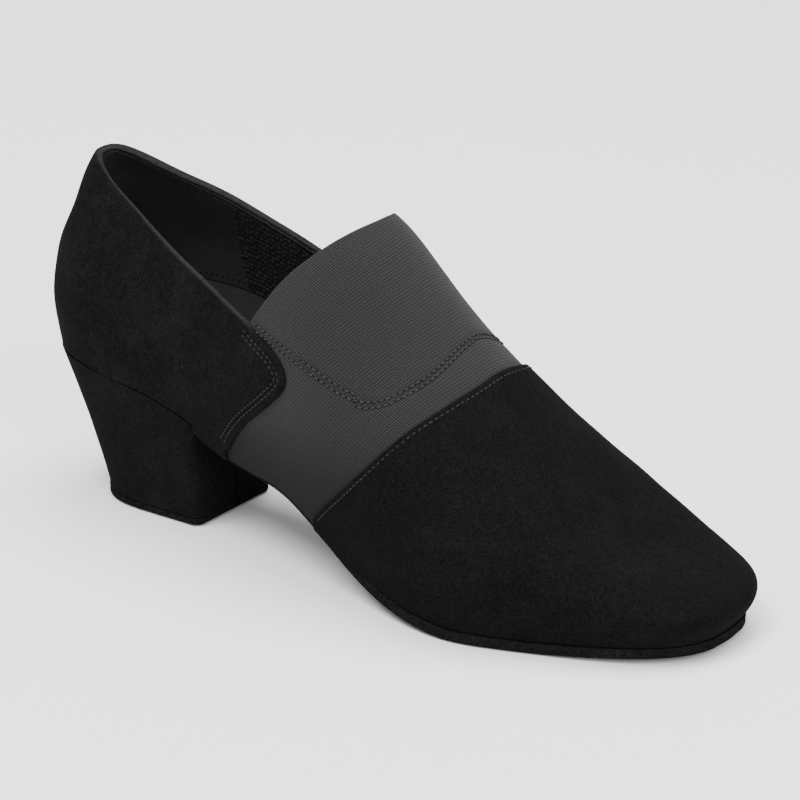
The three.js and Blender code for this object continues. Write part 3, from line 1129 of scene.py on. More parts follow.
def fold(border: np.ndarray, normals: np.ndarray, outward: np.ndarray,
         radius: float | np.ndarray, turn: float, steps: int,
         tail: float = 0.0) -> list[np.ndarray]:
    """Rows of points that roll a sheet's border over.

    Args:
        border: The border's points.
        normals: The sheet's outward normals there.
        outward: Unit vectors in the surface, away from the sheet.
        radius: Radius of the roll, in all or at each point.
        turn: Angle of the roll, in radians.
        steps: How many rows the roll gets.
        tail: Length that runs back on the inside.

    Returns:
        The rows, from the border onwards.
    """
    rows = []
    radius = np.broadcast_to(radius, len(border))[:, None]
    for k in range(1, steps + 1):
        angle = turn * k / steps
        rows.append(border + normals * (radius * (math.cos(angle) - 1))
                    + outward * (radius * math.sin(angle)))
    if tail:
        rows.append(rows[-1] - outward * tail)
    return rows


@dataclass
class Vamp(Shoe):
    """The suede vamp over the toe, with its folded back edge and row of stitches."""

    rows: int = 161
    columns: int = 110
    roll: float = 0.95 * MM
    roll_rows: int = 7
    thickness: float = 0.9 * MM
    crowding: float = 0.55
    stitch_inset: float = 0.85 * MM
    stitch_pitch: float = 2.0 * MM

    def build(self) -> list[bpy.types.Object]:
        """Builds the vamp and its stitches.

        Returns:
            The pieces.
        """
        side, t = self.over(self.rows)
        start = np.where(side < 0, self.last.share_on(VAMP_EDGE, -1, t),
                         self.last.share_on(VAMP_EDGE, 1, t))
        mid = self.rows // 2
        start[mid] = (start[mid - 1] + start[mid + 1]) / 2
        v = np.linspace(0, 1, self.columns)
        bend = self.crowding * np.sin(v * math.pi / 2) + (1 - self.crowding) * v
        xi = start[:, None] + (1 - start)[:, None] * bend[None, :]
        side2 = np.broadcast_to(side[:, None], xi.shape)
        t2 = np.broadcast_to(t[:, None], xi.shape)
        points = self.last.point(xi, side2, t2)
        normals = self.last.normal(xi, side2, t2)
        points = points + normals * waver(points, 0.05, 0.18 * MM, 0.7)[..., None]
        points = soften(points, normals, VAMP_DENTS)
        rim = points[:, 0]
        away = away_from(points, normals)
        roll = fold(rim, normals[:, 0], away, self.roll, math.pi / 2, self.roll_rows)
        field_ = np.concatenate([np.stack(roll[::-1], 1), points], axis=1)
        spread = np.concatenate([np.repeat(xi[:, :1], self.roll_rows, axis=1), xi], axis=1)
        facing = np.concatenate([np.repeat(normals[:, :1], self.roll_rows, axis=1), normals], 1)
        near = self.hem(field_[0], facing[0], spread[0])[::-1]
        far = self.hem(field_[-1], facing[-1], spread[-1])
        field_ = np.concatenate([near, field_, far])
        obj = Workshop.sheet("vamp_suede", field_, closed=True)
        Workshop.outward_like(obj, normals[mid, 40], points[mid, 40])
        Workshop.thicken(obj, self.thickness, use_even_offset=False)
        self.place(obj, self.kit.suede, Finish.SUEDE, "vamp")
        return [obj, *self.stitches(side, t, start)]

    def stitches(self, side: np.ndarray, t: np.ndarray,
                 start: np.ndarray) -> list[bpy.types.Object]:
        """Sews the row of stitches inside the back edge.

        Args:
            side: Sides of the rows.
            t: Their levels.
            start: Shares of the length of the back edge.

        Returns:
            The pieces.
        """
        inset = start + self.stitch_inset / self.last.length
        path = self.last.grown(inset, side, t, 0.0)
        normal = self.last.normal(inset, side, t)
        keep = t > 0.02
        return Stitching(self.last, self.kit, slot=Finish.SUEDE).row(
            "vamp_stitches", path[keep], normal[keep], self.stitch_pitch, self.kit.grey_thread)


VAMP_DENTS = (
    Dent(118, -24, 42, 16, 9, 0.18, -45),
    Dent(168, 14, 22, 12, 9, 0.12, -20),
)


@dataclass
class Stitching:
    """Rows of sewn stitches and needle holes, the holes as dark lenses of painted shade."""

    last: Last
    kit: Kit
    thickness: float = 0.42 * MM
    slot: Finish = Finish.ELASTIC
    hole: tuple[float, float, float] = (0.52 * MM, 0.42 * MM, 0.4 * MM)
    hole_depth: float = 0.12 * MM

    def row(self, name: str, path: np.ndarray, normals: np.ndarray, pitch: float,
            material: bpy.types.Material, share: float = 0.74, lift: float = 0.05 * MM,
            holes: bool = True) -> list[bpy.types.Object]:
        """Sews a row of stitches along a path.

        Args:
            name: The piece's name.
            path: Points of the path.
            normals: Outward normals along it.
            pitch: Distance from one stitch to the next.
            material: The thread.
            share: Length of a stitch as a share of the pitch.
            lift: Height of the thread's middle over the surface.
            holes: True to add the needle holes between the stitches, dark lenses of painted shade.

        Returns:
            The pieces.
        """
        reach = distances(path)
        count = max(int(reach[-1] / pitch), 1)
        spans = (np.arange(count) + 0.5) * reach[-1] / count

        def at(s: np.ndarray, data: np.ndarray) -> np.ndarray:
            """Reads the path's data.

            Args:
                s: Distances along the path.
                data: A row for each of its points.

            Returns:
                A row for each distance.
            """
            return np.stack([np.interp(s, reach, data[:, k]) for k in range(3)], -1)

        def frames(s: np.ndarray, rise: float) -> list[Matrix]:
            """Sets frames along the path, with x along it and z out.

            Args:
                s: Distances along the path.
                rise: How far out they stand.

            Returns:
                The matrices.
            """
            out = []
            here, ahead, up = at(s, path), at(s + 0.2 * MM, path), at(s, normals)
            for p, q, n in zip(here, ahead, up):
                moved = np.linalg.norm(q - p) > 1e-9
                x = Vector(q - p).normalized() if moved else Vector((1, 0, 0))
                z = Vector(n).normalized()
                y = z.cross(x).normalized()
                z = x.cross(y)
                m = Matrix((x, y, z)).transposed().to_4x4()
                m.translation = Vector(p) + z * rise
                out.append(m)
            return out

        pieces = [self.repeat(name, self.bead(pitch * share), frames(spans, lift), material)]
        if holes:
            gaps = np.arange(count + 1) * reach[-1] / count
            gaps = gaps[(gaps > 0.3 * pitch) & (gaps < reach[-1] - 0.3 * pitch)]
            pieces.append(self.repeat(name.replace("stitches", "holes"), self.pit(),
                                      frames(gaps, -self.hole_depth), self.kit.hole))
        return pieces

    def bead(self, length: float) -> bpy.types.Object:
        """Makes one stitch: a short thread whose ends dip into the leather.

        Args:
            length: Its length.

        Returns:
            The stitch.
        """
        obj, co = self.ball(6)
        x = co[:, 2] * length
        y = co[:, 0] * self.thickness
        z = co[:, 1] * self.thickness - 0.35 * self.thickness * (2 * co[:, 2]) ** 4
        Workshop.put_points(obj, np.stack([x, y, z], -1))
        return obj

    def pit(self) -> bpy.types.Object:
        """Makes one needle hole: a small dark lens that just shows, painted shade standing for the
        hole.

        Returns:
            The hole.
        """
        obj, co = self.ball(5)
        Workshop.put_points(obj, co * self.hole)
        return obj

    @staticmethod
    def ball(rings: int) -> tuple[bpy.types.Object, np.ndarray]:
        """Makes a small sphere to shape.

        Args:
            rings: How many rings it has.

        Returns:
            The sphere and its points.
        """
        bpy.ops.object.select_all(action="DESELECT")
        bpy.ops.mesh.primitive_uv_sphere_add(segments=8, ring_count=rings, radius=0.5)
        obj = bpy.context.active_object
        return obj, Workshop.values(obj.data.vertices, "co")

    def repeat(self, name: str, model: bpy.types.Object, frames: list[Matrix],
               material: bpy.types.Material) -> bpy.types.Object:
        """Copies a stitch or hole to its places.

        Args:
            name: The new piece's name.
            model: The stitch or hole.
            frames: Its places.
            material: The piece's material.

        Returns:
            The piece.
        """
        obj = Workshop.copies(name, model, frames)
        Workshop.outward(obj)
        Workshop.smooth(obj, 70)
        obj.data.materials.append(material)
        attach(obj, "root")
        return obj


@dataclass
class Gore(Shoe):
    """The elastic gore over the instep, from the throat to under the vamp."""

    rows: int = 181
    columns: int = 96
    tuck: float = 0.010
    thickness: float = 0.7 * MM
    top_roll: float = 0.95 * MM
    turned_in: float = 5 * MM
    seam_gap: float = 2.2 * MM
    seam_close: float = 0.35
    seam_pitch: float = 2.05 * MM

    def borders(self) -> tuple[np.ndarray, np.ndarray, np.ndarray, np.ndarray]:
        """Finds where the gore's rows start and end.

        Returns:
            Sides, levels, and the back and front shares of the length of each row.
        """
        side, t = self.over(self.rows)
        back, front = np.zeros(self.rows), np.zeros(self.rows)
        for s in SIDES:
            corner = self.last.trace(THROAT, s)[0]
            top = self.last.share_on(THROAT, s, t)
            hidden = corner[0] - 0.012 - 0.05 * np.clip((corner[1] - t) / corner[1], 0, 1)
            ease = np.clip((t - corner[1] + 0.03) / 0.03, 0, 1)
            edge = np.where(t > corner[1], top, hidden + (corner[0] - hidden) * ease)
            back = np.where(side == s, edge, back)
            front = np.where(side == s, self.last.share_on(VAMP_EDGE, s, t), front)
        mid = self.rows // 2
        for row in (back, front):
            row[mid] = (row[mid - 1] + row[mid + 1]) / 2
        return side, t, back, front + self.tuck

    def build(self) -> list[bpy.types.Object]:
        """Builds the gore and its curved double seam.

        Returns:
            The pieces.
        """
        side, t, back, front = self.borders()
        v = np.linspace(0, 1, self.columns)
        xi = back[:, None] + (front - back)[:, None] * v[None, :]
        side2 = np.broadcast_to(side[:, None], xi.shape)
        t2 = np.broadcast_to(t[:, None], xi.shape)
        base = self.last.point(xi, side2, t2)
        normals = self.last.normal(xi, side2, t2)
        points = base - normals * self.gore_depth
        points = points + normals * waver(points, 0.045, 0.12 * MM, 2.1)[..., None]
        points = soften(points, normals, GORE_DENTS)
        points = self.press_seam(points, normals)
        girth = distances(points)
        girth -= girth[self.rows // 2]
        length = distances(points.swapaxes(0, 1)).T
        length -= length[:, -1:]
        roll = fold(points[:, 0], normals[:, 0], away_from(points, normals), self.top_roll,
                    math.pi, 8, self.turned_in)
        lips = np.stack(roll[::-1], 1)
        lip_len = length[:, :1] - np.linspace(8 * MM, 0.4 * MM, lips.shape[1])[None, :]
        field_ = np.concatenate([lips, points], axis=1)
        along = np.concatenate([lip_len, length], axis=1)
        across = np.concatenate([girth[:, :1].repeat(lips.shape[1], 1), girth], axis=1)
        uv = np.stack([across, along], -1)
        spread = np.concatenate([np.repeat(xi[:, :1], lips.shape[1], axis=1), xi], axis=1)
        facing = np.concatenate([np.repeat(normals[:, :1], lips.shape[1], axis=1), normals], axis=1)
        near = self.hem(field_[0], facing[0], spread[0])[::-1]
        far = self.hem(field_[-1], facing[-1], spread[-1])
        step = np.array([3.6, 2.2, 1.8, 1.0])[:, None] * MM
        flat = 0 * along[:1] + 0 * step
        uv = np.concatenate([uv[:1] - np.stack([step + flat, flat], -1), uv,
                             uv[-1:] + np.stack([step[::-1] + flat, flat], -1)])
        field_ = np.concatenate([near, field_, far])
        obj = Workshop.sheet("gore_elastic", field_, uv)
        Workshop.outward_like(obj, normals[self.rows // 2, 40], points[self.rows // 2, 40])
        Workshop.thicken(obj, self.thickness, use_even_offset=False)
        self.place(obj, self.kit.elastic, Finish.ELASTIC, "upper")
        return [obj, *self.seams()]

    def seam_path(self, inset: float) -> tuple[np.ndarray, np.ndarray]:
        """Path of one row of the double seam, from the lateral quarter over the ridge.

        Args:
            inset: Distance of the row in front of the seam's first row.

        Returns:
            Points on the gore and normals.
        """
        paths, norms = [], []
        for s in SIDES:
            curve = self.last.trace(GORE_SEAM, s)
            xi, t = curve[:, 0], curve[:, 1]
            points, normals = self.last.point(xi, s, t), self.last.normal(xi, s, t)
            run = unit(np.gradient(points, axis=0))
            away = np.cross(run, normals) * (-s)
            away *= np.where(away[:, :1] + away[:, 2:] * 0 < 0, -1, 1)
            close = (1 - self.seam_close * t)[:, None]
            points = points - normals * (self.gore_depth - 0.02 * MM) + away * inset * close
            paths.append(points if s < 0 else points[::-1])
            norms.append(normals if s < 0 else normals[::-1])
        return np.concatenate(paths), np.concatenate(norms)

    def press_seam(self, points: np.ndarray, normals: np.ndarray) -> np.ndarray:
        """Presses the elastic in along its seam.

        Args:
            points: Points of the gore.
            normals: Its outward normals.

        Returns:
            The moved points.
        """
        for inset in (0.0, self.seam_gap):
            path = self.seam_path(inset)[0]
            flat = points.reshape(-1, 3)
            gap = np.full(len(flat), 1.0)
            for start in range(0, len(flat), 4000):
                away = flat[start:start + 4000, None] - path[None, ::2]
                gap[start:start + 4000] = np.sqrt((away ** 2).sum(-1)).min(1)
            depth = 0.28 * MM * np.exp(-(gap / (0.9 * MM)) ** 2)
            points = points - normals * depth.reshape(points.shape[:2])[..., None]
        return points

    def seams(self) -> list[bpy.types.Object]:
        """Sews the two rows of the curved seam.

        Returns:
            The pieces.
        """
        pieces = []
        for index, inset in enumerate((0.0, self.seam_gap)):
            path, normals = self.seam_path(inset)
            pieces += Stitching(self.last, self.kit, 0.52 * MM).row(
                f"gore_stitches_{index + 1}", path, normals, self.seam_pitch,
                self.kit.charcoal_thread, share=0.7, lift=-0.04 * MM)
        return pieces


GORE_DENTS = (
    Dent(66, -30, 58, 10, 14, 0.25, 30),
    Dent(90, -24, 70, 12, 8, -0.2, -50),
)


@dataclass
class Quarter(Shoe):
    """The suede quarter around the heel, with its wings, rolled collar and double stitching."""

    across: int = 150
    rows: int = 56
    wing_roll: float = 1.1 * MM
    collar_roll: float = 0.8 * MM
    collar_flat: float = 1.5 * MM
    collar_turned_in: float = 4 * MM
    roll_rows: int = 4
    flat_rows: int = 3
    thickness: float = 0.8 * MM
    stitch_insets: tuple[float, float] = (1.4 * MM, 2.95 * MM)
    stitch_pitch: float = 2.05 * MM

    def outline(self, side: float) -> tuple[np.ndarray, np.ndarray]:
        """Outline of one side, from the wing's foot over its tip and along the collar.

        Args:
            side: -1 or 1.

        Returns:
            Rows of share and level, and for each the share of the collar's full roll.
        """
        wing = self.last.trace(WING, side)[::-1]
        collar = self.last.trace(COLLAR, side)[::-1]
        both = np.concatenate([wing, collar])
        kind = np.concatenate([np.zeros(len(wing)), np.ones(len(collar))])
        points = self.last.point(both[:, 0], side, both[:, 1])
        reach = distances(points)
        at = np.linspace(0, reach[-1], self.across)
        xi = np.interp(at, reach, both[:, 0])
        t = np.interp(at, reach, both[:, 1])
        for _ in range(3):
            xi[1:-1] = (xi[:-2] + 2 * xi[1:-1] + xi[2:]) / 4
            t[1:-1] = (t[:-2] + 2 * t[1:-1] + t[2:]) / 4
        full = np.clip((np.interp(at, reach, kind) * 1.0), 0, 1)
        for _ in range(6):
            full[1:-1] = (full[:-2] + full[1:-1] + full[2:]) / 3
        return np.stack([xi, t], -1), full

    def half(self, side: float) -> dict[str, np.ndarray]:
        """Points, normals and borders of one side.

        Args:
            side: -1 or 1.

        Returns:
            Arrays by name.
        """
        top, full = self.outline(side)
        foot = self.last.even(np.linspace(top[0, 0], 0, 200), np.zeros(200), side, self.across)
        r = np.linspace(0, 1, self.rows)[None, :, None]
        grid = foot[:, None, :] * (1 - r) + top[:, None, :] * r
        xi, t = grid[..., 0], grid[..., 1]
        points = self.last.point(xi, side, t)
        normals = self.last.normal(xi, side, t)
        return {"points": points, "normals": normals, "top": top, "full": full, "foot": foot[:, 0]}

    def build(self) -> list[bpy.types.Object]:
        """Builds the quarter and its stitches.

        Returns:
            The pieces.
        """
        halves = {s: self.half(s) for s in SIDES}
        near, far = halves[-1], halves[1]
        points = np.concatenate([near["points"], far["points"][::-1][1:]])
        normals = np.concatenate([near["normals"], far["normals"][::-1][1:]])
        full = np.concatenate([near["full"], far["full"][::-1][1:]])
        points = points + normals * waver(points, 0.06, 0.2 * MM, 4.2)[..., None]
        points = soften(points, normals, QUARTER_DENTS)
        rim, n = points[:, -1], normals[:, -1]
        away = unit(np.cross(n, unit(np.gradient(rim, axis=0))))
        inward = points[:, -4] - rim
        flip = np.sum(away * inward, axis=1) > 0
        away[flip] *= -1
        feet = np.concatenate([near["foot"], far["foot"][::-1][1:]])
        below = np.stack(self.hem(points[:, 0], normals[:, 0], feet)[::-1], 1)
        field_ = np.concatenate([below, points, self.rim_rows(rim, n, away, full)], axis=1)
        off = distances(field_.swapaxes(0, 1)).T
        inner_corner = len(HEM) + self.rows + self.roll_rows + self.flat_rows - 1
        off -= off[:, inner_corner:inner_corner + 1]
        uv = np.stack([np.broadcast_to(full[:, None], off.shape), off], -1)
        obj = Workshop.sheet("quarter_suede", field_, uv, closed=True)
        middle = self.across - 1
        Workshop.outward_like(obj, normals[middle, 20], points[middle, 20])
        Workshop.thicken(obj, self.thickness, use_even_offset=False)
        self.place(obj, self.kit.collar_suede, Finish.SUEDE, "quarter")
        return [obj, *self.stitches(halves)]

    def rim_rows(self, rim: np.ndarray, n: np.ndarray, away: np.ndarray,
                 full: np.ndarray) -> np.ndarray:
        """Rows that fold the top edge over: flat on top at the collar, plain at the wings.

        Args:
            rim: Points of the sheet's top edge.
            n: Outward normals there.
            away: Unit vectors up and away from the sheet.
            full: Share of the collar's full fold at each point.

        Returns:
            Points, by place along the edge and row.
        """
        radius = (self.wing_roll + (self.collar_roll - self.wing_roll) * full)[:, None]
        whole, plain = full[:, None], 1 - full[:, None]
        rows = fold(rim, n, away, radius[:, 0], math.pi / 2, self.roll_rows)
        crown = rows[-1]
        for k in range(1, self.flat_rows + 1):
            rows.append(crown - n * (self.collar_flat * whole + 0.12 * MM * plain)
                        * k / self.flat_rows)
        inner = rows[-1]
        for k in range(1, self.roll_rows + 1):
            angle = math.pi / 2 * k / self.roll_rows
            rows.append(inner - n * (radius * math.sin(angle) * whole + 0.1 * MM * k * plain)
                        - away * radius * (1 - math.cos(angle)) * whole)
        rows.append(rows[-1] - away * self.collar_turned_in * whole - n * 0.2 * MM * plain)
        return np.stack(rows, 1)

    def stitches(self, halves: dict[int, dict[str, np.ndarray]]) -> list[bpy.types.Object]:
        """Sews two rows of stitches inside the edge of each wing.

        Args:
            halves: The arrays of each side.

        Returns:
            The pieces.
        """
        pieces = []
        for s in SIDES:
            top, full = halves[s]["top"], halves[s]["full"]
            points = self.last.point(top[:, 0], s, top[:, 1])
            normals = self.last.normal(top[:, 0], s, top[:, 1])
            inside = np.cross(normals, unit(np.gradient(points, axis=0))) * -s
            towards = halves[s]["points"][:, -6] - halves[s]["points"][:, -1]
            flip = np.sum(inside * towards, axis=1) < 0
            inside[flip] *= -1
            keep = np.nonzero(full < 0.85)[0][3:]
            for index, inset in enumerate(self.stitch_insets):
                path = points[keep] + inside[keep] * inset - normals[keep] * 0.05 * MM
                name = f"quarter_stitches_{self.side_name(s)}_{index + 1}"
                pieces += Stitching(self.last, self.kit, slot=Finish.SUEDE).row(
                    name, path, normals[keep], self.stitch_pitch, self.kit.grey_thread)
        return pieces


QUARTER_DENTS = (
    Dent(10, -30, 60, 16, 9, 0.35, -20),
    Dent(-8, -28, 88, 12, 8, -0.25, -30),
    Dent(40, -34, 50, 12, 10, 0.3, -10),
)


@dataclass
class Lining(Shoe):
    """The inside of the shoe: lining, knitted patch and sock."""

    columns: int = 110
    knit_start: float = 0.165
    knit_end: float = 0.62
    toe_start: float = 0.60
    toe_end: float = 0.985
    slant: float = 0.045
    foot_level: float = 0.02
    seam_level: float = 0.275
    seam_rise: float = 0.025
    seam_ends: tuple[float, float] = (0.04, 0.36)
    lower_sink: float = 0.3 * MM
    gap: float = 0.15 * MM
    thickness: float = 0.5 * MM
    sock_thickness: float = 1.6 * MM
    sock_lift: float = 2.4 * MM
    sock_dish: float = 0.8 * MM

    def build(self) -> list[bpy.types.Object]:
        """Builds the lining panels, the seam inside and the sock.

        Returns:
            The pieces.
        """
        foot = self.foot_level
        pieces = [self.shell("lining_back", 0.0, self.knit_start, self.kit.lining,
                             slant=(0.0, self.slant)),
                  self.shell("lining_knit", self.knit_start, self.knit_end, self.kit.knit,
                             slant=(self.slant, 0.0)),
                  self.shell("lining_toe", self.toe_start, self.toe_end, self.kit.lining,
                             band=(foot, 1.0)),
                  self.shell("lining_lower", 0.0, self.knit_end, self.kit.sock,
                             band=(foot, self.seam_level + foot), sink=self.lower_sink),
                  self.sock()]
        xi = np.linspace(*self.seam_ends, 90)
        t = np.full(90, self.seam_level + self.seam_rise)
        for s in SIDES:
            path = self.last.grown(xi, s, t, np.full(90, -self.wall - self.gap))
            pieces += Stitching(self.last, self.kit, 0.5 * MM, Finish.LINING).row(
                f"lining_stitches_{self.side_name(s)}", path, -self.last.normal(xi, s, t),
                2.0 * MM, self.kit.hole, share=0.42, holes=False)
        return pieces

    def top_level(self, xi: np.ndarray, side: float) -> np.ndarray:
        """Finds the highest level of the lining.

        Args:
            xi: Shares of the length.
            side: -1 or 1.

        Returns:
            The levels.
        """
        collar = self.last.trace(COLLAR, side)
        throat = self.last.trace(THROAT, side)
        curve = np.concatenate([collar, throat[1:]])
        curve = curve[np.argsort(curve[:, 0])]
        return np.interp(xi, curve[:, 0], curve[:, 1])

    def shell(self, name: str, start: float, end: float, material: bpy.types.Material,
              band: tuple[float, float] | None = None, slant: tuple[float, float] = (0.0, 0.0),
              sink: float = 0.0) -> bpy.types.Object:
        """One panel of the lining, on both sides.

        Args:
            name: The piece's name.
            start: Share of the length where it starts at its top.
            end: Share where it ends at its top.
            material: Its cloth.
            band: Lowest and highest level, from the inner seam up where none is given.
            slant: How much further forward start and end are at the bottom.
            sink: How far the panel lies behind its neighbours.

        Returns:
            The piece.
        """
        parts = []
        cols = max(int(self.columns * (end - start)) + 8, 14)
        v = np.linspace(0, 1, cols)
        xi = start + (end - start) * (v if start else v ** 1.6)
        low, high = band or (self.seam_level, 1.0)
        for s in SIDES:
            top = self.top_level(xi, s)
            margin = np.interp(top, [0.95, 1.0], [0.012, 0.0])
            r = np.linspace(0, 1, 60)[:, None]
            t = low + (np.minimum(top - margin, high) - low)[None, :] * r
            x2 = xi[None, :] + (slant[0] * (1 - v) + slant[1] * v)[None, :] * (1 - r)
            depth = self.wall + self.gap - sink
            points = self.last.grown(x2, s, t, np.full(t.shape, -depth))
            h = distances(points)
            uv = np.stack([np.broadcast_to(distances(points[30])[None, :], h.shape), h], -1)
            part = Workshop.sheet(f"{name}_{s}", points, uv)
            Workshop.outward_like(part, -self.last.normal(xi[cols // 2], s, np.array(0.3)),
                                  points[20, cols // 2])
            parts.append(part)
        obj = Workshop.join(name, parts)
        Workshop.thicken(obj, self.thickness)
        return self.place(obj, material, Finish.LINING, "upper")

    def sock(self) -> bpy.types.Object:
        """Lays the sock that covers the insole, dished a little under the heel and ball.

        Returns:
            The sock.
        """
        v = np.linspace(0, 1, 120)
        xi = (1 - np.cos(v * math.pi)) / 2
        near = self.last.point(xi, -1, 0.0)
        far = self.last.point(xi, 1, 0.0)
        inset = self.wall + 0.1 * MM
        middle = (near + far) / 2
        half = np.maximum((far[:, 1] - near[:, 1]) / 2 - inset, 0.0)
        a = np.linspace(-1, 1, 41)
        lift = self.sock_lift + self.sock_dish * a ** 4
        reach = np.clip(half / (18 * MM), 0, 1)
        x = np.clip(middle[:, 0], near[0, 0] + inset, near[-1, 0] - inset)
        points = np.empty((41, len(xi), 3))
        points[..., 0] = x
        points[..., 1] = middle[:, 1] + a[:, None] * half
        points[..., 2] = self.last.feather(xi) + lift[:, None] * (0.6 + 0.4 * reach)
        obj = Workshop.sheet("sock", points, points[..., :2].copy())
        Workshop.outward_like(obj, np.array([0, 0, 1.0]), points[20, 50])
        Workshop.thicken(obj, self.sock_thickness, 50)
        return self.place(obj, self.kit.sock, Finish.LINING, "insole")


@dataclass
class Bottom(Shoe):
    """Outsole, heel cover and heel tip."""

    fit: float = 0.3 * MM
    edge: float = 0.6 * MM
    toe_inset: float = 0.2 * MM
    arch_inset: float = 1.5 * MM
    tip_back: float = 22 * MM
    tip_length: float = 43.8 * MM
    tip_half_width: float = 19.6 * MM
    tip_height: float = 2.4 * MM
    tip_bend: float = 0.54
    tip_power: float = 2.8
    breast: float = 64.6 * MM
    corner: float = 3.2 * MM
    flat_points: int = 12
    arc_points: int = 14
    hem_swell: float = 0.35 * MM
    seam_depth: float = 0.5 * MM
    seam_ridge: float = 0.25 * MM
    tip_swell: float = 0.25 * MM

    def share_at(self, x: float) -> float:
        """Finds where the feather reaches a distance from the heel.

        Args:
            x: The distance.

        Returns:
            The share of the length.
        """
        low, high = 0.0, 1.0
        for _ in range(40):
            mid = (low + high) / 2
            if self.last.point(mid, -1, 0.0)[0] + self.last.origin < x:
                low = mid
            else:
                high = mid
        return low

    def outsole(self) -> bpy.types.Object:
        """Builds the suede sole, a slab with soft edges.

        Returns:
            The sole.
        """
        start = self.share_at(self.breast + self.fit)
        v = np.linspace(0, 1, 140)
        xi = start + (1 - start) * (0.5 * np.sin(v * math.pi / 2) + 0.5 * v)
        over = -self.arch_inset + (self.arch_inset + self.edge) * smooth_step((xi - 0.48) / 0.18)
        over -= self.toe_inset * smooth_step((xi - 0.78) / 0.2)
        sides = {}
        for s in SIDES:
            level = unit(self.last.normal(xi, s, 0.0) * (1, 1, 0))
            sides[s] = self.last.point(xi, s, 0.0) + level * over[:, None]
        a = np.linspace(0, 1, 33)[:, None, None]
        grid = sides[-1][None] * (1 - a) + sides[1][None] * a
        grid[..., 0] = np.where(v[None, :] == 0, grid[0, 0, 0], grid[..., 0])
        grid[..., 2] = self.last.feather(xi)[None, :] - self.fit
        obj = Workshop.sheet("outsole_suede", grid, closed=True)
        Workshop.outward_like(obj, np.array([0, 0, 1.0]), grid[16, 60])
        Workshop.modifier(obj, "SOLIDIFY", thickness=self.last.sole - self.fit, offset=-1,
                          use_even_offset=False)
        co = Workshop.values(obj.data.vertices, "co")
        co[:, 2] = np.maximum(co[:, 2], 0.0)
        Workshop.put_points(obj, co)
        Workshop.modifier(obj, "BEVEL", width=0.55 * MM, segments=3, limit_method="ANGLE",
                          angle_limit=math.radians(50))
        Workshop.smooth(obj, 40)
        return self.place(obj, self.kit.sole_suede, Finish.SOLE, "outsole")

    def outline(self, count: int, seat: bool) -> np.ndarray:
        """Outline of the heel at its seat or its tip, starting at the middle of the breast.

        Args:
            count: Points on each side.
            seat: True for the seat, False for the tip.

        Returns:
            Points of the closed outline, with heights for the seat.
        """
        halves = []
        for s in (-1.0, 1.0):
            if seat:
                xi = np.linspace(self.share_at(self.breast - self.corner), 0, 300)
                side_ = self.last.point(xi, s, 0.0)
                front = self.breast - self.last.origin
            else:
                share = np.linspace(1 - self.corner / self.tip_length, 0, 300)
                bend = np.clip((self.tip_bend - share) / self.tip_bend, 0, 1)
                y = s * self.tip_half_width * (1 - bend ** self.tip_power) ** (1 / self.tip_power)
                x = self.tip_back + share * self.tip_length - self.last.origin
                side_ = np.stack([x, y, np.zeros_like(x)], -1)
                front = self.tip_back + self.tip_length - self.last.origin
            angle = np.linspace(0, math.pi / 2, self.arc_points)
            centre = np.array([front - self.corner, side_[0, 1] - s * self.corner, 0])
            arc = centre + self.corner * np.stack([np.cos(angle), s * np.sin(angle), 0 * angle], -1)
            flat = np.linspace([front, 0, 0], arc[0], self.flat_points)[:-1]
            line = np.concatenate([flat, arc[:-1], side_])
            line[:, 2] = 0
            reach = distances(side_[:, :2])
            marks = np.concatenate([np.linspace(0, 1, self.flat_points)[:-1],
                                    1 + np.linspace(0, 1, self.arc_points)[:-1],
                                    2 + reach / reach[-1] * 3])
            at = np.concatenate([np.linspace(0, 1, 13)[:-1], np.linspace(1, 2, 11)[:-1],
                                 np.linspace(2, 5, count - 22)])
            halves.append(np.stack([np.interp(at, marks, line[:, k]) for k in range(3)], -1))
        loop = np.concatenate([halves[0], halves[1][::-1][1:]])
        if seat:
            xs = np.clip((loop[:, 0] + self.last.origin) / self.last.length, 0, 1)
            loop[:, 2] = self.last.feather(xs) - self.fit
        return loop

    def heel(self) -> list[bpy.types.Object]:
        """Builds the covered heel block and its tip.

        Returns:
            The two pieces.
        """
        seat, tip = self.outline(90, True), self.outline(90, False)
        share = np.linspace(0, 1, 60)[:, None, None]
        flare = share ** 1.15
        ring = tip[None] * (1 - flare) + seat[None] * flare
        base = self.tip_height + self.fit
        ring[..., 2] = base + (seat[None, :, 2] - base) * share[..., 0]
        out = unit(ring[..., :2])
        height = ring[..., 2] - base
        hem = np.exp(-(height / (0.9 * MM)) ** 2) * self.hem_swell
        front = self.tip_back + self.tip_length - self.last.origin
        on_breast = np.clip((ring[..., 0] - front + 3.5 * MM) / (3 * MM), 0, 1)
        seam = np.exp(-(ring[..., 1] / (0.7 * MM)) ** 2) * on_breast * self.seam_depth
        ridge = np.exp(-((np.abs(ring[..., 1]) - 2.2 * MM) / (1.2 * MM)) ** 2) * on_breast
        ridge *= self.seam_ridge
        ring[..., :2] += out * (hem - seam + ridge)[..., None]
        ring[..., :2] += out * waver(ring, 0.04, 0.12 * MM, 1.1)[..., None]
        obj = Workshop.sheet("heel_cover", ring, closed=True)
        Workshop.fill_ends(obj)
        Workshop.outward(obj)
        Workshop.smooth(obj, 45)
        self.place(obj, self.kit.heel_suede, Finish.SUEDE, "heel")
        ledge = np.stack([tip * (1, 1, 0) + (0, 0, z) for z in np.linspace(0, self.tip_height, 8)])
        grow = self.tip_swell * np.sin(np.linspace(0, math.pi, 8))
        ledge[..., :2] += unit(tip[:, :2]) * grow[:, None, None]
        top = Workshop.sheet("heel_top_piece", ledge, closed=True)
        Workshop.fill_ends(top)
        Workshop.outward(top)
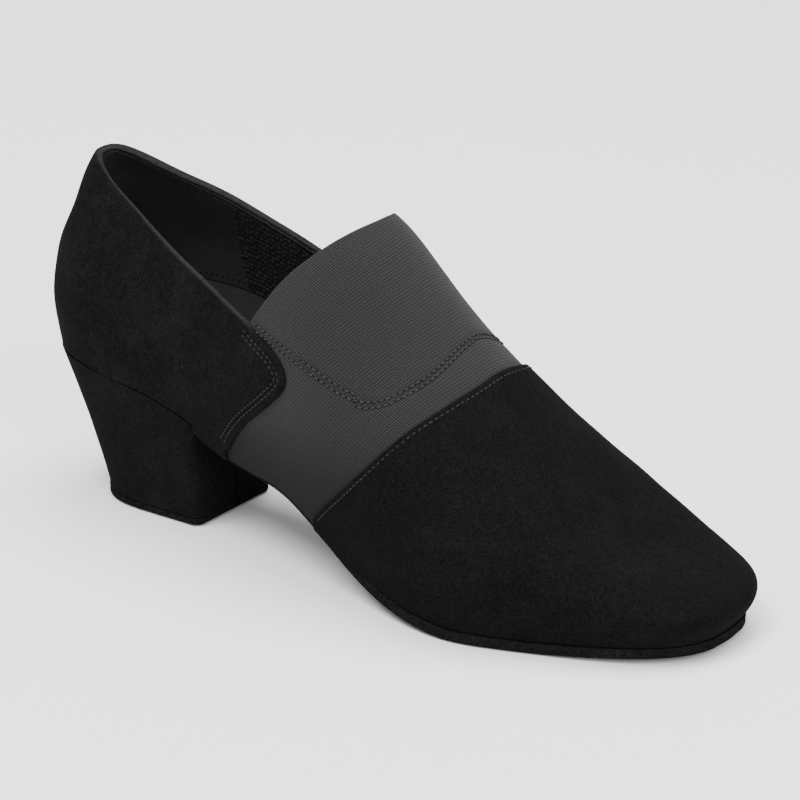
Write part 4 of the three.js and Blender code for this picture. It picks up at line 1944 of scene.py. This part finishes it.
        Workshop.modifier(top, "BEVEL", width=0.4 * MM, segments=3, limit_method="ANGLE",
                          angle_limit=math.radians(60))
        Workshop.smooth(top, 40)
        self.place(top, self.kit.sole_suede, Finish.SOLE, "heel_tip")
        return [obj, top]

    def build(self) -> list[bpy.types.Object]:
        """Builds the sole, the heel and its tip."""
        return [self.outsole(), *self.heel()]


@dataclass(frozen=True)
class Lamp:
    """A soft square light: its name, place, side in metres and power in watts."""

    name: str
    at: tuple[float, float, float]
    size: float
    power: float


LAMPS = (Lamp("key", (-0.35, -0.95, 2.1), 1.2, 62), Lamp("fill", (1.7, -1.0, 1.2), 1.4, 34),
         Lamp("top", (0.1, 0.5, 2.2), 1.5, 66))


@dataclass
class Studio:
    """Floor, lights and camera."""

    azimuth: float = 33.83
    elevation: float = 21.5
    roll: float = 1.41
    distance: float = 1067.8 * MM
    focal_px: float = 3461.8
    frame_px: float = 800.0
    target: tuple[float, float, float] = (76.1 * MM, 0.0, 50 * MM)
    shift_right: float = 7.045 * MM
    shift_up: float = 0.26 * MM
    floor_size: float = 12
    floor_gap: float = 0.5 * MM
    floor_colour: Colour = (0.86, 0.86, 0.86, 1)
    sky: float = 0.85

    def camera(self) -> None:
        """Places the camera at the photograph's angle."""
        a, e, r = (math.radians(v) for v in (self.azimuth, self.elevation, self.roll))
        back = Vector((math.sin(a) * math.cos(e), -math.cos(a) * math.cos(e), math.sin(e)))
        right0 = Vector((math.cos(a), math.sin(a), 0))
        up0 = back.cross(right0)
        right = right0 * math.cos(r) + up0 * math.sin(r)
        up = -right0 * math.sin(r) + up0 * math.cos(r)
        at = (Vector(self.target) + right * self.shift_right + up * self.shift_up
              + back * self.distance)
        data = bpy.data.cameras.new("camera")
        data.sensor_width = 36
        data.lens = self.focal_px / self.frame_px * data.sensor_width
        obj = bpy.data.objects.new("camera", data)
        obj.matrix_world = Matrix.Translation(at) @ Matrix((right, up, back)).transposed().to_4x4()
        bpy.context.collection.objects.link(obj)
        bpy.context.scene.camera = obj

    def light(self, lamp: Lamp) -> None:
        """Adds a lamp that looks at the shoe.

        Args:
            lamp: The lamp.
        """
        data = bpy.data.lights.new(lamp.name, "AREA")
        data.shape, data.size, data.energy = "SQUARE", lamp.size, lamp.power
        obj = bpy.data.objects.new(lamp.name, data)
        obj.location = lamp.at
        look = Vector(self.target) - Vector(lamp.at)
        obj.rotation_euler = look.to_track_quat("-Z", "Y").to_euler()
        bpy.context.collection.objects.link(obj)

    def floor(self) -> None:
        """Adds the plain pale floor."""
        bpy.ops.object.select_all(action="DESELECT")
        bpy.ops.mesh.primitive_plane_add(size=self.floor_size, location=(0, 0, -self.floor_gap))
        obj = bpy.context.active_object
        obj.name = "floor"
        n = Nodes("floor_pale")
        n.surface(self.floor_colour, 0.6, Specular_IOR_Level=0.3)
        obj.data.materials.append(n.material)

    def build(self) -> None:
        """Sets up the studio."""
        self.camera()
        self.floor()
        for lamp in LAMPS:
            self.light(lamp)
        world = bpy.context.scene.world or bpy.data.worlds.new("world")
        bpy.context.scene.world = world
        world.use_nodes = True
        back = world.node_tree.nodes["Background"]
        back.inputs["Color"].default_value = (1, 1, 1, 1)
        back.inputs["Strength"].default_value = self.sky


def main() -> None:
    """Builds the shoe and its studio, in order, and reports each piece."""
    logging.basicConfig(level=logging.INFO, format="%(name)s %(message)s")
    Studio().build()
    last, kit = Last(), Kit()
    for maker in (Bottom, Lining, Gore, Vamp, Quarter):
        pieces = maker(last, kit).build()
        log.info("%s: %s", maker.__name__, ", ".join(p.name for p in pieces))


if __name__ == "__main__":
    main()
